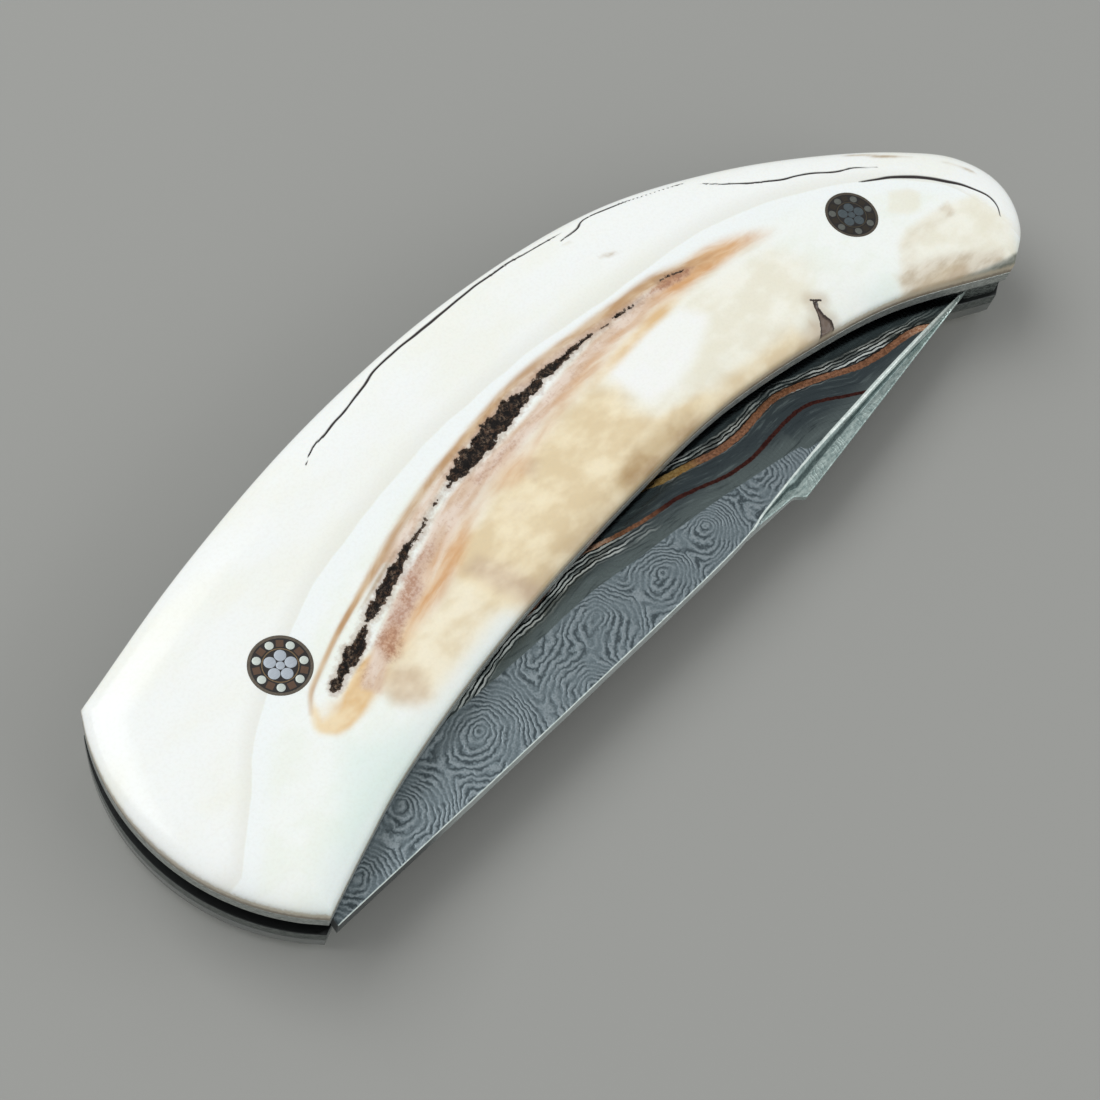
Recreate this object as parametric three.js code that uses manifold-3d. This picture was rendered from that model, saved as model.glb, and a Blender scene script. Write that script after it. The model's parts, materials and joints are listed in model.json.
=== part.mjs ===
// A folding pocket knife, closed, lying on its lower handle scale. Millimetres, +Z up.
// X runs along the handle from the pivot to the nose, Y towards the convex back of the handle.
// Two domed ivory-like scales and two steel liners hold a blade between them. The blade turns on a
// mosaic pin at the broad butt; a second mosaic pin holds the back spacer at the nose.
import * as THREE from "three";
import { mergeVertices } from "three/addons/utils/BufferGeometryUtils.js";
import Module from "manifold-3d";

const wasm = await Module();
wasm.setup();

// Handle: reaches along X and heights along Y are measured from the pivot axis
const pinSpacing = 82.5; // pivot axis to spacer pin axis
const buttReach = 15.7; // back corner of the butt, behind the pivot
const buttBack = 8.7; // back corner of the butt, above the pivot
const buttFront = 20.1; // front corner of the butt, below the pivot
const buttFrontReach = 11.9; // front corner of the butt, behind the pivot
const buttBulge = 5.05; // rise of the butt's arc over its chord
const backHeight = 20.2; // highest point of the back
const noseReach = 18.4; // end of the nose, past the spacer pin axis
const noseDrop = 15.7; // lowest corner of the nose, below the pins
const frontDepth = 7; // middle of the hollow front edge, below the pins

// Stack, from the middle plane outwards
const bladeThickness = 2.3;
const washerThickness = 0.15;
const runningGap = 0.05; // on each face of each washer, and round the pivot
const linerThickness = 1.5;
const glueLine = 0.02; // between a liner and its scale
const scaleSide = 1.4; // upright side of a scale
const scaleRise = 1.6; // rise of the dome over the side
const domeRun = 5; // distance from the rim to the flat crown
const domePull = 6.5; // how far the rings of the dome are drawn inwards

// Pins and washers
const mosaicRadius = 3;
const tubeWall = 0.28;
const innerTubeRadius = 1.72;
const innerTubeWall = 0.1;
const rodCount = 7;
const rodRadius = 0.41;
const rodCircle = 2.2; // radius of the circle on which rods and bars stand
const barWidth = 0.7;
const petalCount = 5;
const petalRadius = 0.54;
const petalCircle = 1;
const centreRodRadius = 0.38;
const headSink = 0.02; // pin ends below the crown of the scale
const pressGap = 0.02; // round a pin or rod that is glued in its hole
const washerRadius = 7;
const stopPinRadius = 1.5;
const linerPinRadius = 1;

// Blade: reaches and depths from the pivot axis
const tipPastPin = 6.9; // tip, past the spacer pin axis
const tipDepth = 13.6;
const heelReach = 11.2;
const heelDepth = 20.6;
const spineRise = 4.9; // how much the spine rises from the heel to where the bevel meets it
const swedgeStart = 56; // corner of the raised swedge
const swedgeStep = 2.7; // how far that corner stands out from the edge of the upper face
const swedgeCrest = 0.8; // width of the flat along the crest
const swedgeRun = 1.4; // length of the step up to that corner
const hollowStart = 47; // where the faces begin to draw back from the spine
const bevelDepth = 12.2; // grind line at the ricasso
const edgeDepth = 3; // cutting edge at the ricasso
const edgeWidth = 0.3; // thickness left at the cutting edge
const plungeStart = 12; // where the bevel begins to run in
const plungeLength = 7;
const bossRadius = 8;
const kickChamfer = 0.8;
const kickGap = 0.3; // between the kick and the stop pin, blade closed
const stopGap = 0.3; // between the tang and the spacer's end, blade open
const stopPinReach = 13;
const stopPinHeight = 1.6;

// Back spacer
const spacerInset = 0.5; // below the edges of the liners
const spacerWidth = 10; // at the middle of the back
const tipRoom = 1.2; // free space in front of the tip

const tubeSides = 32;
const rodSides = 8;
const outlineSteps = 5; // points on each stretch of an outline

// Heights above the middle plane
const washerBase = bladeThickness / 2 + runningGap;
const linerBase = washerBase + washerThickness + runningGap;
const scaleBase = linerBase + linerThickness + glueLine;
const crownHeight = scaleBase + scaleSide + scaleRise;

const at = (x, y) => new THREE.Vector2(x, y);

const between = (from, to, share) => THREE.MathUtils.lerp(from, to, share);

// Points along a smooth line through the given ones
function smoothLine(points, steps = outlineSteps) {
  const knots = points.map((p) => new THREE.Vector3(p.x, p.y, 0));
  const curve = new THREE.CatmullRomCurve3(knots, false, "centripetal");
  return curve.getPoints(steps * (points.length - 1)).map((p) => at(p.x, p.y));
}

// Points along an arc that bulges to the left of the way from one point to the other
function arcLine(from, to, bulge, steps) {
  const half = from.distanceTo(to) / 2;
  const radius = (half * half + bulge * bulge) / (2 * bulge);
  const chord = to.clone().sub(from).normalize();
  const outwards = at(-chord.y, chord.x);
  const middle = from.clone().add(to).multiplyScalar(0.5);
  const centre = middle.addScaledVector(outwards, bulge - radius);
  const sweep = 2 * Math.asin(half / radius);
  const start = from.clone().sub(centre);
  const points = [];
  for (let i = 0; i <= steps; i++) {
    points.push(start.clone().rotateAround(at(0, 0), (-sweep * i) / steps).add(centre));
  }
  return points;
}

// Outline of the handle, anticlockwise from the lowest corner of the nose
function handleOutline() {
  const along = (share) => pinSpacing * share;
  const pastPin = (share) => pinSpacing + noseReach * share;
  const noseCorner = at(pastPin(0.6), -noseDrop);
  const backCorner = at(-buttReach, buttBack);
  const frontCorner = at(-buttFrontReach, -buttFront);
  const nosePoints = [
    noseCorner,
    at(pastPin(0.83), -0.84 * noseDrop),
    at(pastPin(0.973), -0.6 * noseDrop),
    at(pastPin(1), -0.37 * noseDrop),
    at(pastPin(0.913), -0.1 * noseDrop),
    at(pastPin(0.69), 0.124 * backHeight),
  ];
  const backPoints = [
    at(pastPin(0.29), 0.38 * backHeight),
    at(along(0.92), 0.69 * backHeight),
    at(along(0.74), 0.93 * backHeight),
    at(along(0.5), backHeight),
    at(along(0.242), 0.903 * backHeight),
    at(0, between(buttBack, backHeight, 0.44)),
    backCorner,
  ];
  const towardsButt = (share) => -between(frontDepth, buttFront, share);
  const towardsNose = (share) => -between(frontDepth, noseDrop, share);
  const frontPoints = [
    frontCorner,
    at(along(-0.06), towardsButt(0.785)),
    at(along(0.02), towardsButt(0.6)),
    at(along(0.217), towardsButt(0.3)),
    at(along(0.46), towardsButt(0.09)),
    at(along(0.665), -frontDepth),
    at(along(0.853), towardsNose(0.16)),
    at(along(0.97), towardsNose(0.39)),
    noseCorner,
  ];
  return [
    ...smoothLine([...nosePoints, ...backPoints]).slice(0, -1),
    ...arcLine(frontCorner, backCorner, buttBulge, 12).reverse().slice(0, -1),
    ...smoothLine(frontPoints).slice(0, -1),
  ];
}

// A closed mesh over rings of points, which all have the same count. The first and last are capped.
function skin(rings, flat) {
  const count = rings[0].length;
  const positions = rings.flat().flatMap((p) => [p.x, p.y, p.z]);
  const faces = [];
  for (let r = 0; r + 1 < rings.length; r++) {
    for (let i = 0; i < count; i++) {
      const a = r * count + i;
      const b = r * count + ((i + 1) % count);
      faces.push(a, b, b + count, a, b + count, a + count);
    }
  }
  const top = (rings.length - 1) * count;
  for (const [a, b, c] of THREE.ShapeUtils.triangulateShape(rings[0].map(flat), [])) {
    faces.push(a, c, b);
  }
  for (const [a, b, c] of THREE.ShapeUtils.triangulateShape(rings.at(-1).map(flat), [])) {
    faces.push(top + a, top + b, top + c);
  }
  const geometry = new THREE.BufferGeometry();
  geometry.setAttribute("position", new THREE.Float32BufferAttribute(positions, 3));
  geometry.setIndex(faces);
  return geometry;
}

// A flat plate between two heights
function plate(outline, bottom, top) {
  const shape = new THREE.Shape(outline);
  const settings = { depth: top - bottom, bevelEnabled: false };
  return new THREE.ExtrudeGeometry(shape, settings).translate(0, 0, bottom);
}

// Points on a circle, starting at the given angle
function circle(x, y, radius, sides, start = 0) {
  const points = [];
  for (let i = 0; i < sides; i++) {
    const angle = start + (2 * Math.PI * i) / sides;
    points.push(at(x + radius * Math.cos(angle), y + radius * Math.sin(angle)));
  }
  return points;
}

// A geometry as a solid that can be cut or joined
function solid(geometry) {
  const bare = geometry.index ? geometry.toNonIndexed() : geometry.clone();
  bare.deleteAttribute("normal");
  bare.deleteAttribute("uv");
  const merged = mergeVertices(bare, 1e-4);
  return new wasm.Manifold(
    new wasm.Mesh({
      numProp: 3,
      vertProperties: new Float32Array(merged.attributes.position.array),
      triVerts: new Uint32Array(merged.index.array),
    }),
  );
}

// A solid as a geometry again
function geometryOf(body) {
  const mesh = body.getMesh();
  const geometry = new THREE.BufferGeometry();
  geometry.setAttribute("position", new THREE.Float32BufferAttribute(mesh.vertProperties, 3));
  geometry.setIndex(new THREE.BufferAttribute(mesh.triVerts, 1));
  return geometry;
}

// A geometry with holes through its whole height; each hole is an outline
function drilled(geometry, holes) {
  const reach = 2 * crownHeight;
  return geometryOf(
    holes.reduce((body, hole) => body.subtract(solid(plate(hole, -reach, reach))), solid(geometry)),
  );
}

// Both mosaic pins
const pivot = at(0, 0);
const spacerPin = at(pinSpacing, 0);
const mosaicHoles = [pivot, spacerPin].map((p) =>
  circle(p.x, p.y, mosaicRadius + pressGap, tubeSides),
);

// Pins hidden under the scales, along the middle of the back spacer
const linerPins = [0.36, 0.72].map((share) =>
  at(pinSpacing * share, backHeight - 0.63 * spacerWidth),
);
const stopPin = at(stopPinReach, stopPinHeight);
const linerPinHoles = linerPins.map((p) => circle(p.x, p.y, linerPinRadius + pressGap, 16));
const stopPinHole = circle(stopPin.x, stopPin.y, stopPinRadius + pressGap, 20);

const rim = handleOutline();

// Middle line of the handle, towards which the dome rises
const backbone = smoothLine(
  [
    at(-0.4 * buttReach, -4),
    at(0.25 * pinSpacing, 3.5),
    at(0.5 * pinSpacing, (backHeight - frontDepth) / 2),
    at(0.8 * pinSpacing, 4.5),
    at(pinSpacing + 0.42 * noseReach, -0.35 * noseDrop),
  ],
  20,
);

const nearest = (point, others) =>
  others.reduce((best, p) => (p.distanceTo(point) < best.distanceTo(point) ? p : best));

// Distance from a point to the rim
function rimDistance(point) {
  let least = Infinity;
  rim.forEach((a, i) => {
    const b = rim[(i + 1) % rim.length];
    const edge = b.clone().sub(a);
    const share = THREE.MathUtils.clamp(point.clone().sub(a).dot(edge) / edge.lengthSq(), 0, 1);
    least = Math.min(least, a.clone().addScaledVector(edge, share).distanceTo(point));
  });
  return least;
}

// Height of a scale's upper face over the middle plane
function domeHeight(point) {
  const share = Math.min(1, rimDistance(point) / domeRun);
  return scaleBase + scaleSide + scaleRise * Math.sqrt(1 - (1 - share) ** 2);
}

function scaleGeometry() {
  const drawn = (share) =>
    rim.map((p) => {
      const inwards = nearest(p, backbone).clone().sub(p).setLength(share * domePull);
      const q = p.clone().add(inwards);
      return new THREE.Vector3(q.x, q.y, domeHeight(q));
    });
  const foot = rim.map((p) => new THREE.Vector3(p.x, p.y, scaleBase));
  const rings = [foot, ...[0, 0.03, 0.12, 0.28, 0.52, 1].map(drawn)];
  return drilled(skin(rings, (p) => at(p.x, p.y)), mosaicHoles);
}

function linerGeometry() {
  const body = plate(rim, linerBase, linerBase + linerThickness);
  return drilled(body, [...mosaicHoles, ...linerPinHoles, stopPinHole]);
}

// The same piece on the other side of the middle plane
function mirrored(geometry) {
  const other = geometry.clone().scale(1, 1, -1);
  const index = other.index.array;
  for (let i = 0; i < index.length; i += 3) {
    [index[i + 1], index[i + 2]] = [index[i + 2], index[i + 1]];
  }
  return other;
}

// Corner of the tang, and where the tang's rear edge meets its round boss
const heel = at(-heelReach, -heelDepth);
const tangentAngle = heel.angle() - Math.acos(bossRadius / heel.length());
const tangent = at(Math.cos(tangentAngle), Math.sin(tangentAngle)).multiplyScalar(bossRadius);
const tip = at(pinSpacing + tipPastPin, -tipDepth);
const plungeEnd = plungeStart + plungeLength;
const tangOverlap = 1; // the ground part of the blade starts inside the tang

// Lines along the blade, from the tang to the tip
const spineLine = smoothLine([
  heel,
  at(0.27 * swedgeStart, 0.16 * spineRise - heelDepth),
  at(0.77 * swedgeStart, 0.39 * spineRise - heelDepth),
  at(swedgeStart, 0.82 * spineRise - heelDepth),
  at(1.1 * swedgeStart, spineRise - heelDepth),
  tip,
]);
const edgeLine = smoothLine([
  at(plungeStart - tangOverlap, -edgeDepth),
  at(0.5 * tip.x, -between(edgeDepth, tipDepth, 0.02)),
  at(0.76 * tip.x, -between(edgeDepth, tipDepth, 0.19)),
  at(0.9 * tip.x, -between(edgeDepth, tipDepth, 0.5)),
  tip,
]);
const grindLine = smoothLine([
  at(plungeStart - tangOverlap, -bevelDepth),
  at(0.5 * swedgeStart, -1.02 * bevelDepth),
  at(0.8 * swedgeStart, -1.16 * bevelDepth),
  at(1.1 * swedgeStart, spineRise - heelDepth),
  at(tip.x, -1.34 * tipDepth),
]);

// Y of a line at a given X
function heightAt(line, x) {
  const found = line.findIndex((p) => p.x >= x);
  const i = found < 0 ? line.length - 1 : Math.max(1, found);
  const [a, b] = [line[i - 1], line[i]];
  return between(a.y, b.y, (x - a.x) / (b.x - a.x));
}

// Half of the blade's thickness at a point
function halfThickness(x, y) {
  const edge = heightAt(edgeLine, x);
  const share = (edge - y) / (edge - heightAt(grindLine, x));
  const ground = between(edgeWidth / 2, bladeThickness / 2, THREE.MathUtils.clamp(share, 0, 1));
  const plunge = THREE.MathUtils.smoothstep(x, plungeStart, plungeEnd);
  return between(bladeThickness / 2, ground, plunge);
}

// Y of the spine's outermost line: straight past the start of the hollow, then the swedge's crest
function crestAt(x) {
  const held = heightAt(spineLine, Math.min(x, hollowStart));
  const corner = heightAt(spineLine, swedgeStart) - swedgeStep;
  const share = Math.max(0, (x - swedgeStart) / (tip.x - swedgeStart));
  const raised = THREE.MathUtils.smoothstep(x, swedgeStart - swedgeRun, swedgeStart);
  return between(held, between(corner, -tipDepth, share), raised);
}

// Section of the blade across X, from the edge over the upper face, the crest and the lower face.
// No two of its corners fall together, neither at the tip nor where there is no swedge.
function bladeSection(x) {
  const leastWidth = 0.1;
  const leastStep = 0.02;
  const edge = heightAt(edgeLine, x);
  const spine = Math.min(heightAt(spineLine, x), edge - leastWidth);
  const grind = Math.max(heightAt(grindLine, x), between(edge, spine, 0.96));
  const crest = Math.min(crestAt(x), spine) - leastStep;
  const spineHalf = halfThickness(x, spine);
  const thinned = THREE.MathUtils.smoothstep(x, hollowStart, swedgeStart);
  const crestHalf = between(spineHalf, Math.min(spineHalf, swedgeCrest / 2), thinned);
  const upper = [
    [edge, halfThickness(x, edge)],
    [grind, halfThickness(x, grind)],
    [spine, spineHalf],
    [crest, crestHalf],
  ];
  const lower = upper.map(([y, z]) => [y, -z]).reverse();
  return [...upper, ...lower].map(([y, z]) => new THREE.Vector3(x, y, z));
}

function bladeGeometry() {
  const run = (from, to, count) =>
    Array.from({ length: count }, (_, i) => between(from, to, (i + 1) / count));
  const stations = [
    plungeStart - tangOverlap,
    plungeStart,
    ...run(plungeStart, plungeEnd, 4),
    ...run(plungeEnd, hollowStart, 7),
    ...run(hollowStart, swedgeStart - swedgeRun, 4),
    ...run(swedgeStart - swedgeRun, swedgeStart, 3),
    ...run(swedgeStart, tip.x, 14),
  ];
  const ground = skin(stations.map(bladeSection), (p) => at(p.y, p.z));
  const kickTop = stopPinHeight - stopPinRadius - kickGap;
  const kickEnd = stopPinReach + stopPinRadius;
  const bossTop = Math.asin(kickTop / bossRadius);
  const bossSteps = 24;
  const bossSweep = tangentAngle + 2 * Math.PI * (tangentAngle < 0) - bossTop;
  const boss = Array.from({ length: bossSteps }, (_, i) => {
    const angle = bossTop + (bossSweep * (i + 1)) / bossSteps;
    return at(Math.cos(angle), Math.sin(angle)).multiplyScalar(bossRadius);
  });
  const tang = [
    heel,
    at(plungeStart, heightAt(spineLine, plungeStart)),
    at(plungeStart, -edgeDepth),
    at(kickEnd, -edgeDepth),
    at(kickEnd, kickTop - kickChamfer),
    at(kickEnd - kickChamfer, kickTop),
    at(bossRadius * Math.cos(bossTop), kickTop),
    ...boss,
  ];
  const body = solid(plate(tang, -bladeThickness / 2, bladeThickness / 2));
  const bore = circle(0, 0, mosaicRadius + runningGap, tubeSides);
  return drilled(geometryOf(body.add(solid(ground))), [bore]);
}

function spacerGeometry() {
  const inner = rim.map((p, i) => {
    const before = rim[(i + rim.length - 1) % rim.length];
    const after = rim[(i + 1) % rim.length];
    const way = after.clone().sub(before).normalize();
    return p.clone().add(at(-way.y, way.x).multiplyScalar(spacerInset));
  });
  const face = tangent.clone().negate();
  const faceTop = heel.clone().negate();
  const away = at(faceTop.y - face.y, face.x - faceTop.x).setLength(stopGap);
  const low = face.clone().lerp(faceTop, 0.34).add(away);
  const high = face.clone().lerp(faceTop, 1.4).add(away);
  const kept = [
    high,
    ...smoothLine([
      low,
      at(0.3 * pinSpacing, backHeight - 1.12 * spacerWidth),
      at(0.5 * pinSpacing, backHeight - spacerWidth),
      at(0.7 * pinSpacing, backHeight - 1.25 * spacerWidth),
      at(0.87 * pinSpacing, 0.05 * backHeight),
      at(0.94 * tip.x, -0.5 * tipDepth),
      at(tip.x + tipRoom, -tipDepth - 0.5 * tipRoom),
    ]),
    at(tip.x + 1.5 * tipRoom, -2 * noseDrop),
    at(2 * tip.x, -2 * noseDrop),
    at(2 * tip.x, 2 * backHeight),
  ];
  const body = solid(plate(inner, -linerBase, linerBase));
  const room = solid(plate(kept.reverse(), -2 * linerBase, 2 * linerBase));
  return drilled(geometryOf(body.intersect(room)), [mosaicHoles[1], ...linerPinHoles]);
}

function washerGeometry() {
  const ring = circle(0, 0, washerRadius, 40);
  const bore = circle(0, 0, mosaicRadius + runningGap, tubeSides);
  return drilled(plate(ring, washerBase, washerBase + washerThickness), [bore]);
}

// A pin that ends at the outer faces of the liners
function crossPin(place, radius, sides) {
  const reach = linerBase + linerThickness;
  return plate(circle(place.x, place.y, radius, sides), -reach, reach);
}

const group = new THREE.Group();

function addPiece(name, geometry, color, roughness, metalness) {
  const material = new THREE.MeshStandardMaterial({ color, roughness, metalness });
  const mesh = new THREE.Mesh(geometry, material);
  mesh.name = name;
  group.add(mesh);
}

// One mosaic pin: a tube, a ring of rods and square bars, and a flower of petals in an inner tube
function addMosaicPin(name, place, turn) {
  const reach = crownHeight - headSink;
  const shaft = (outline) => plate(outline, -reach, reach);
  const ring = (radius) => circle(place.x, place.y, radius, tubeSides);
  const spot = (radius, angle) =>
    at(place.x + radius * Math.cos(angle), place.y + radius * Math.sin(angle));
  const rods = [];
  const bars = [];
  const petals = [];
  for (let i = 0; i < rodCount; i++) {
    const angle = turn + Math.PI + (2 * Math.PI * i) / rodCount;
    rods.push([spot(rodCircle, angle), rodRadius, rodSides, 0]);
    const midway = angle + Math.PI / rodCount;
    bars.push([spot(rodCircle, midway), barWidth / Math.SQRT2, 4, midway + Math.PI / 4]);
  }
  for (let i = 0; i < petalCount; i++) {
    const angle = turn + (2 * Math.PI * i) / petalCount;
    petals.push([spot(petalCircle, angle), petalRadius, rodSides, angle]);
  }
  const centre = [place, centreRodRadius, rodSides, 0];
  const outline = ([p, radius, sides, start], gap = 0) =>
    circle(p.x, p.y, radius + gap, sides, start);
  const hole = (piece) => outline(piece, pressGap);

  const tubeBore = mosaicRadius - tubeWall;
  const tube = drilled(shaft(ring(mosaicRadius)), [ring(tubeBore)]);
  addPiece(name + "_tube", tube, 0x77736a, 0.4, 0.9);
  const innerBore = innerTubeRadius - innerTubeWall;
  const innerTube = drilled(shaft(ring(innerTubeRadius)), [ring(innerBore)]);
  addPiece(name + "_inner_tube", innerTube, 0xa88b52, 0.35, 0.9);
  const ringHoles = [ring(innerTubeRadius + pressGap), ...[...rods, ...bars].map(hole)];
  const ringResin = drilled(shaft(ring(tubeBore - pressGap)), ringHoles);
  addPiece(name + "_ring_resin", ringResin, 0x16130f, 0.5, 0);
  const coreResin = drilled(shaft(ring(innerBore - pressGap)), [...petals, centre].map(hole));
  addPiece(name + "_core_resin", coreResin, 0x16130f, 0.5, 0);
  rods.forEach((piece, i) => {
    addPiece(name + "_rod_" + (i + 1), shaft(outline(piece)), 0xc4c8c9, 0.3, 0.9);
  });
  bars.forEach((piece, i) => {
    addPiece(name + "_bar_" + (i + 1), shaft(outline(piece)), 0x6d4636, 0.4, 0.8);
  });
  petals.forEach((piece, i) => {
    addPiece(name + "_petal_" + (i + 1), shaft(outline(piece)), 0xb9c0c8, 0.3, 0.9);
  });
  addPiece(name + "_centre_rod", shaft(outline(centre)), 0xb9c0c8, 0.3, 0.9);
}

const scale = scaleGeometry();
addPiece("top_scale", scale, 0xf0e9dc, 0.25, 0);
addPiece("bottom_scale", mirrored(scale), 0xf0e9dc, 0.25, 0);
const liner = linerGeometry();
addPiece("top_liner", liner, 0x8b9293, 0.35, 0.9);
addPiece("bottom_liner", mirrored(liner), 0x8b9293, 0.35, 0.9);
addPiece("back_spacer", spacerGeometry(), 0x5c6364, 0.5, 0.8);
addPiece("blade", bladeGeometry(), 0x6f787d, 0.4, 0.9);
const washer = washerGeometry();
addPiece("top_washer", washer, 0xb08a4a, 0.35, 0.9);
addPiece("bottom_washer", mirrored(washer), 0xb08a4a, 0.35, 0.9);
addPiece("stop_pin", crossPin(stopPin, stopPinRadius, 20), 0x9aa0a2, 0.3, 0.9);
linerPins.forEach((place, i) => {
  addPiece("liner_pin_" + (i + 1), crossPin(place, linerPinRadius, 16), 0x9aa0a2, 0.3, 0.9);
});
addMosaicPin("pivot_pin", pivot, 0.28 * Math.PI);
addMosaicPin("spacer_pin", spacerPin, 0.34 * Math.PI);

// The origin is the middle of the underside of the box round the knife
const box = new THREE.Box3().setFromObject(group);
const middle = box.getCenter(new THREE.Vector3());
group.position.set(-middle.x, -middle.y, -box.min.z);

export default group;
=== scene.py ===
"""A closed folding pocket knife: domed ivory-like scales, a patterned steel blade, two mosaic pins.

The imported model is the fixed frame. Lengths here are millimetres from the pivot, X along the
handle, Y towards its back and Z up. to_row() turns them into the frame's metres.
"""
import json
import math

import bpy
import numpy as np
from mathutils import Matrix, Vector
from mathutils.geometry import delaunay_2d_cdt


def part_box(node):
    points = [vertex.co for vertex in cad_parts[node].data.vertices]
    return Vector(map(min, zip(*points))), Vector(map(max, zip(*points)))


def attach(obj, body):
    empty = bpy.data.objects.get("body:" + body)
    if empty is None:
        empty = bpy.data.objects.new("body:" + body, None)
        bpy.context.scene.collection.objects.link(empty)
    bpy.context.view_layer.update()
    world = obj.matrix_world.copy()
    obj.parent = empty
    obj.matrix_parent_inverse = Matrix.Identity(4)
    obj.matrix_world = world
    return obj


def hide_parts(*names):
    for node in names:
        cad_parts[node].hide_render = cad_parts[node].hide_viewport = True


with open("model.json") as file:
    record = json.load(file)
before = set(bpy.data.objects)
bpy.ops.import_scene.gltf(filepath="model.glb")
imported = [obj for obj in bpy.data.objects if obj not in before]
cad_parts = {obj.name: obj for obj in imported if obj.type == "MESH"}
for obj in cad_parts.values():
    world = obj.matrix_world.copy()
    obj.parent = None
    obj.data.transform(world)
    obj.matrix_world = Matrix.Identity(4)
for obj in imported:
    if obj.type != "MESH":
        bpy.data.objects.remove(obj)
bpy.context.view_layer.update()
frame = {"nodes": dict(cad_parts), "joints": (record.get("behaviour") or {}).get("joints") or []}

PIVOT = np.array(frame["joints"][0]["pos_m"])


def to_row(points):
    return np.asarray(points, float) / 1000 + PIVOT


def box_mm(node):
    low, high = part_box(node)
    return (np.array(low) - PIVOT) * 1000, (np.array(high) - PIVOT) * 1000


# Heights and places that the frame gives
SCALE_LOW, CROWN = box_mm("top_scale")[0][2], box_mm("top_scale")[1][2]
LINER_LOW, LINER_HIGH = box_mm("top_liner")[0][2], box_mm("top_liner")[1][2]
SPACER_HALF = box_mm("back_spacer")[1][2]
BLADE_HALF = box_mm("blade")[1][2]
PIN_HEAD = box_mm("pivot_pin_tube")[1][2]
PIN_SPACING = sum(box_mm("spacer_pin_tube")[i][0] for i in (0, 1)) / 2
PIN_RADIUS = box_mm("pivot_pin_tube")[1][0]
TIP = box_mm("blade")[1][0]
HEEL = box_mm("blade")[0][0]

# Scales
SCALE_SIDE = 1.4
DOME_RUN = 5.0
DOME_RINGS = (0.08, 0.25, 0.5, 0.85, 1.3, 1.9, 2.6, 3.4, 4.2, 5.0)
GRID = 0.5  # spacing of the mesh on the flat crown
CRACK_GRID = 0.15
HAIR_ROWS = (-0.34, -0.2, -0.07, 0.07, 0.2, 0.34)  # rows of the mesh beside a hair crack
BARK_DEPTH = 0.3
HAIR_DEPTH = 0.12
PIN_CLEARANCE = 0.02

# Figure of the scales, in plan. Cracks filled with bark, as (x, y, half width)
BARK = [
    [
        (2.2, -4.9, 0.35), (3.6, -4.3, 0.6), (5.6, -3.6, 0.75), (7.4, -2.7, 0.5), (9.3, -1.7, 0.4),
        (11.6, -0.9, 0.55), (13.4, -0.1, 0.45), (14.8, 0.5, 0.65), (16.4, 1.2, 0.5), (18.6, 1.8, 0.3),
        (20.6, 2.3, 0.2),
    ],
    [
        (25.8, 4.1, 0.5), (27.6, 4.5, 0.85), (30.4, 5.0, 1.0), (33.3, 5.6, 1.1), (36.2, 6.1, 1.0),
        (38.6, 6.4, 0.75), (40.4, 6.7, 0.5), (42.7, 7.0, 0.36), (45.2, 7.2, 0.26), (48.0, 7.2, 0.16),
        (50.8, 7.0, 0.08),
    ],
    [(58.8, 7.4, 0.05), (59.8, 7.3, 0.12), (61.0, 7.0, 0.1), (62.0, 6.7, 0.03)],
]
# Thin broken trails of bark beyond the cracks
TRAILS = [
    [(19.4, 2.0), (20.6, 2.5), (21.5, 2.9), (23.2, 3.3), (25.9, 4.0)],
    [(50.0, 7.2), (51.6, 7.2), (53.4, 7.0), (56.0, 7.0)],
]
# The notch at the front edge: its outline, and the short crack across its end
NOTCH = [
    (70.3, -4.8), (70.7, -5.1), (70.3, -5.8), (70.2, -6.6), (70.5, -7.6), (70.4, -8.4), (69.4, -8.9),
    (68.3, -9.0), (67.8, -8.7), (68.7, -7.7), (69.2, -6.9), (69.7, -6.0), (70.0, -5.3),
]
NOTCH_TOP = [(70.2, -4.6), (70.6, -4.9), (71.1, -5.3)]
# Hair cracks as (x, y, half width)
HAIRS = [
    [
        (15.7, 14.3, 0.02), (18.1, 15.4, 0.1), (20.9, 16.2, 0.13), (23.5, 16.6, 0.14),
        (26.3, 17.5, 0.18), (29.2, 18.3, 0.2), (32.0, 18.6, 0.2), (34.7, 18.7, 0.22), (38.0, 19.0, 0.22),
        (41.7, 19.3, 0.2), (44.7, 19.3, 0.16), (50.3, 19.1, 0.1), (55.6, 18.6, 0.03),
    ],
    [(54.6, 17.6, 0.05), (57.1, 17.8, 0.12), (59.3, 18.2, 0.11), (63.7, 17.2, 0.11), (70.9, 14.9, 0.05)],
    [
        (72.4, 13.3, 0.05), (76.0, 10.7, 0.13), (79.7, 8.3, 0.16), (81.5, 7.5, 0.14),
        (83.3, 6.7, 0.15), (85.4, 5.4, 0.13), (87.7, 4.2, 0.1), (90.2, 2.4, 0.03),
    ],
    [
        (86.5, 2.5, 0.05), (88.3, 1.6, 0.16), (90.2, 0.5, 0.28), (92.4, -1.2, 0.36), (94.1, -2.8, 0.34),
        (95.6, -4.6, 0.26), (96.8, -6.8, 0.17), (97.3, -8.3, 0.14), (97.1, -9.7, 0.1), (96.3, -10.8, 0.03),
    ],
]
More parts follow.
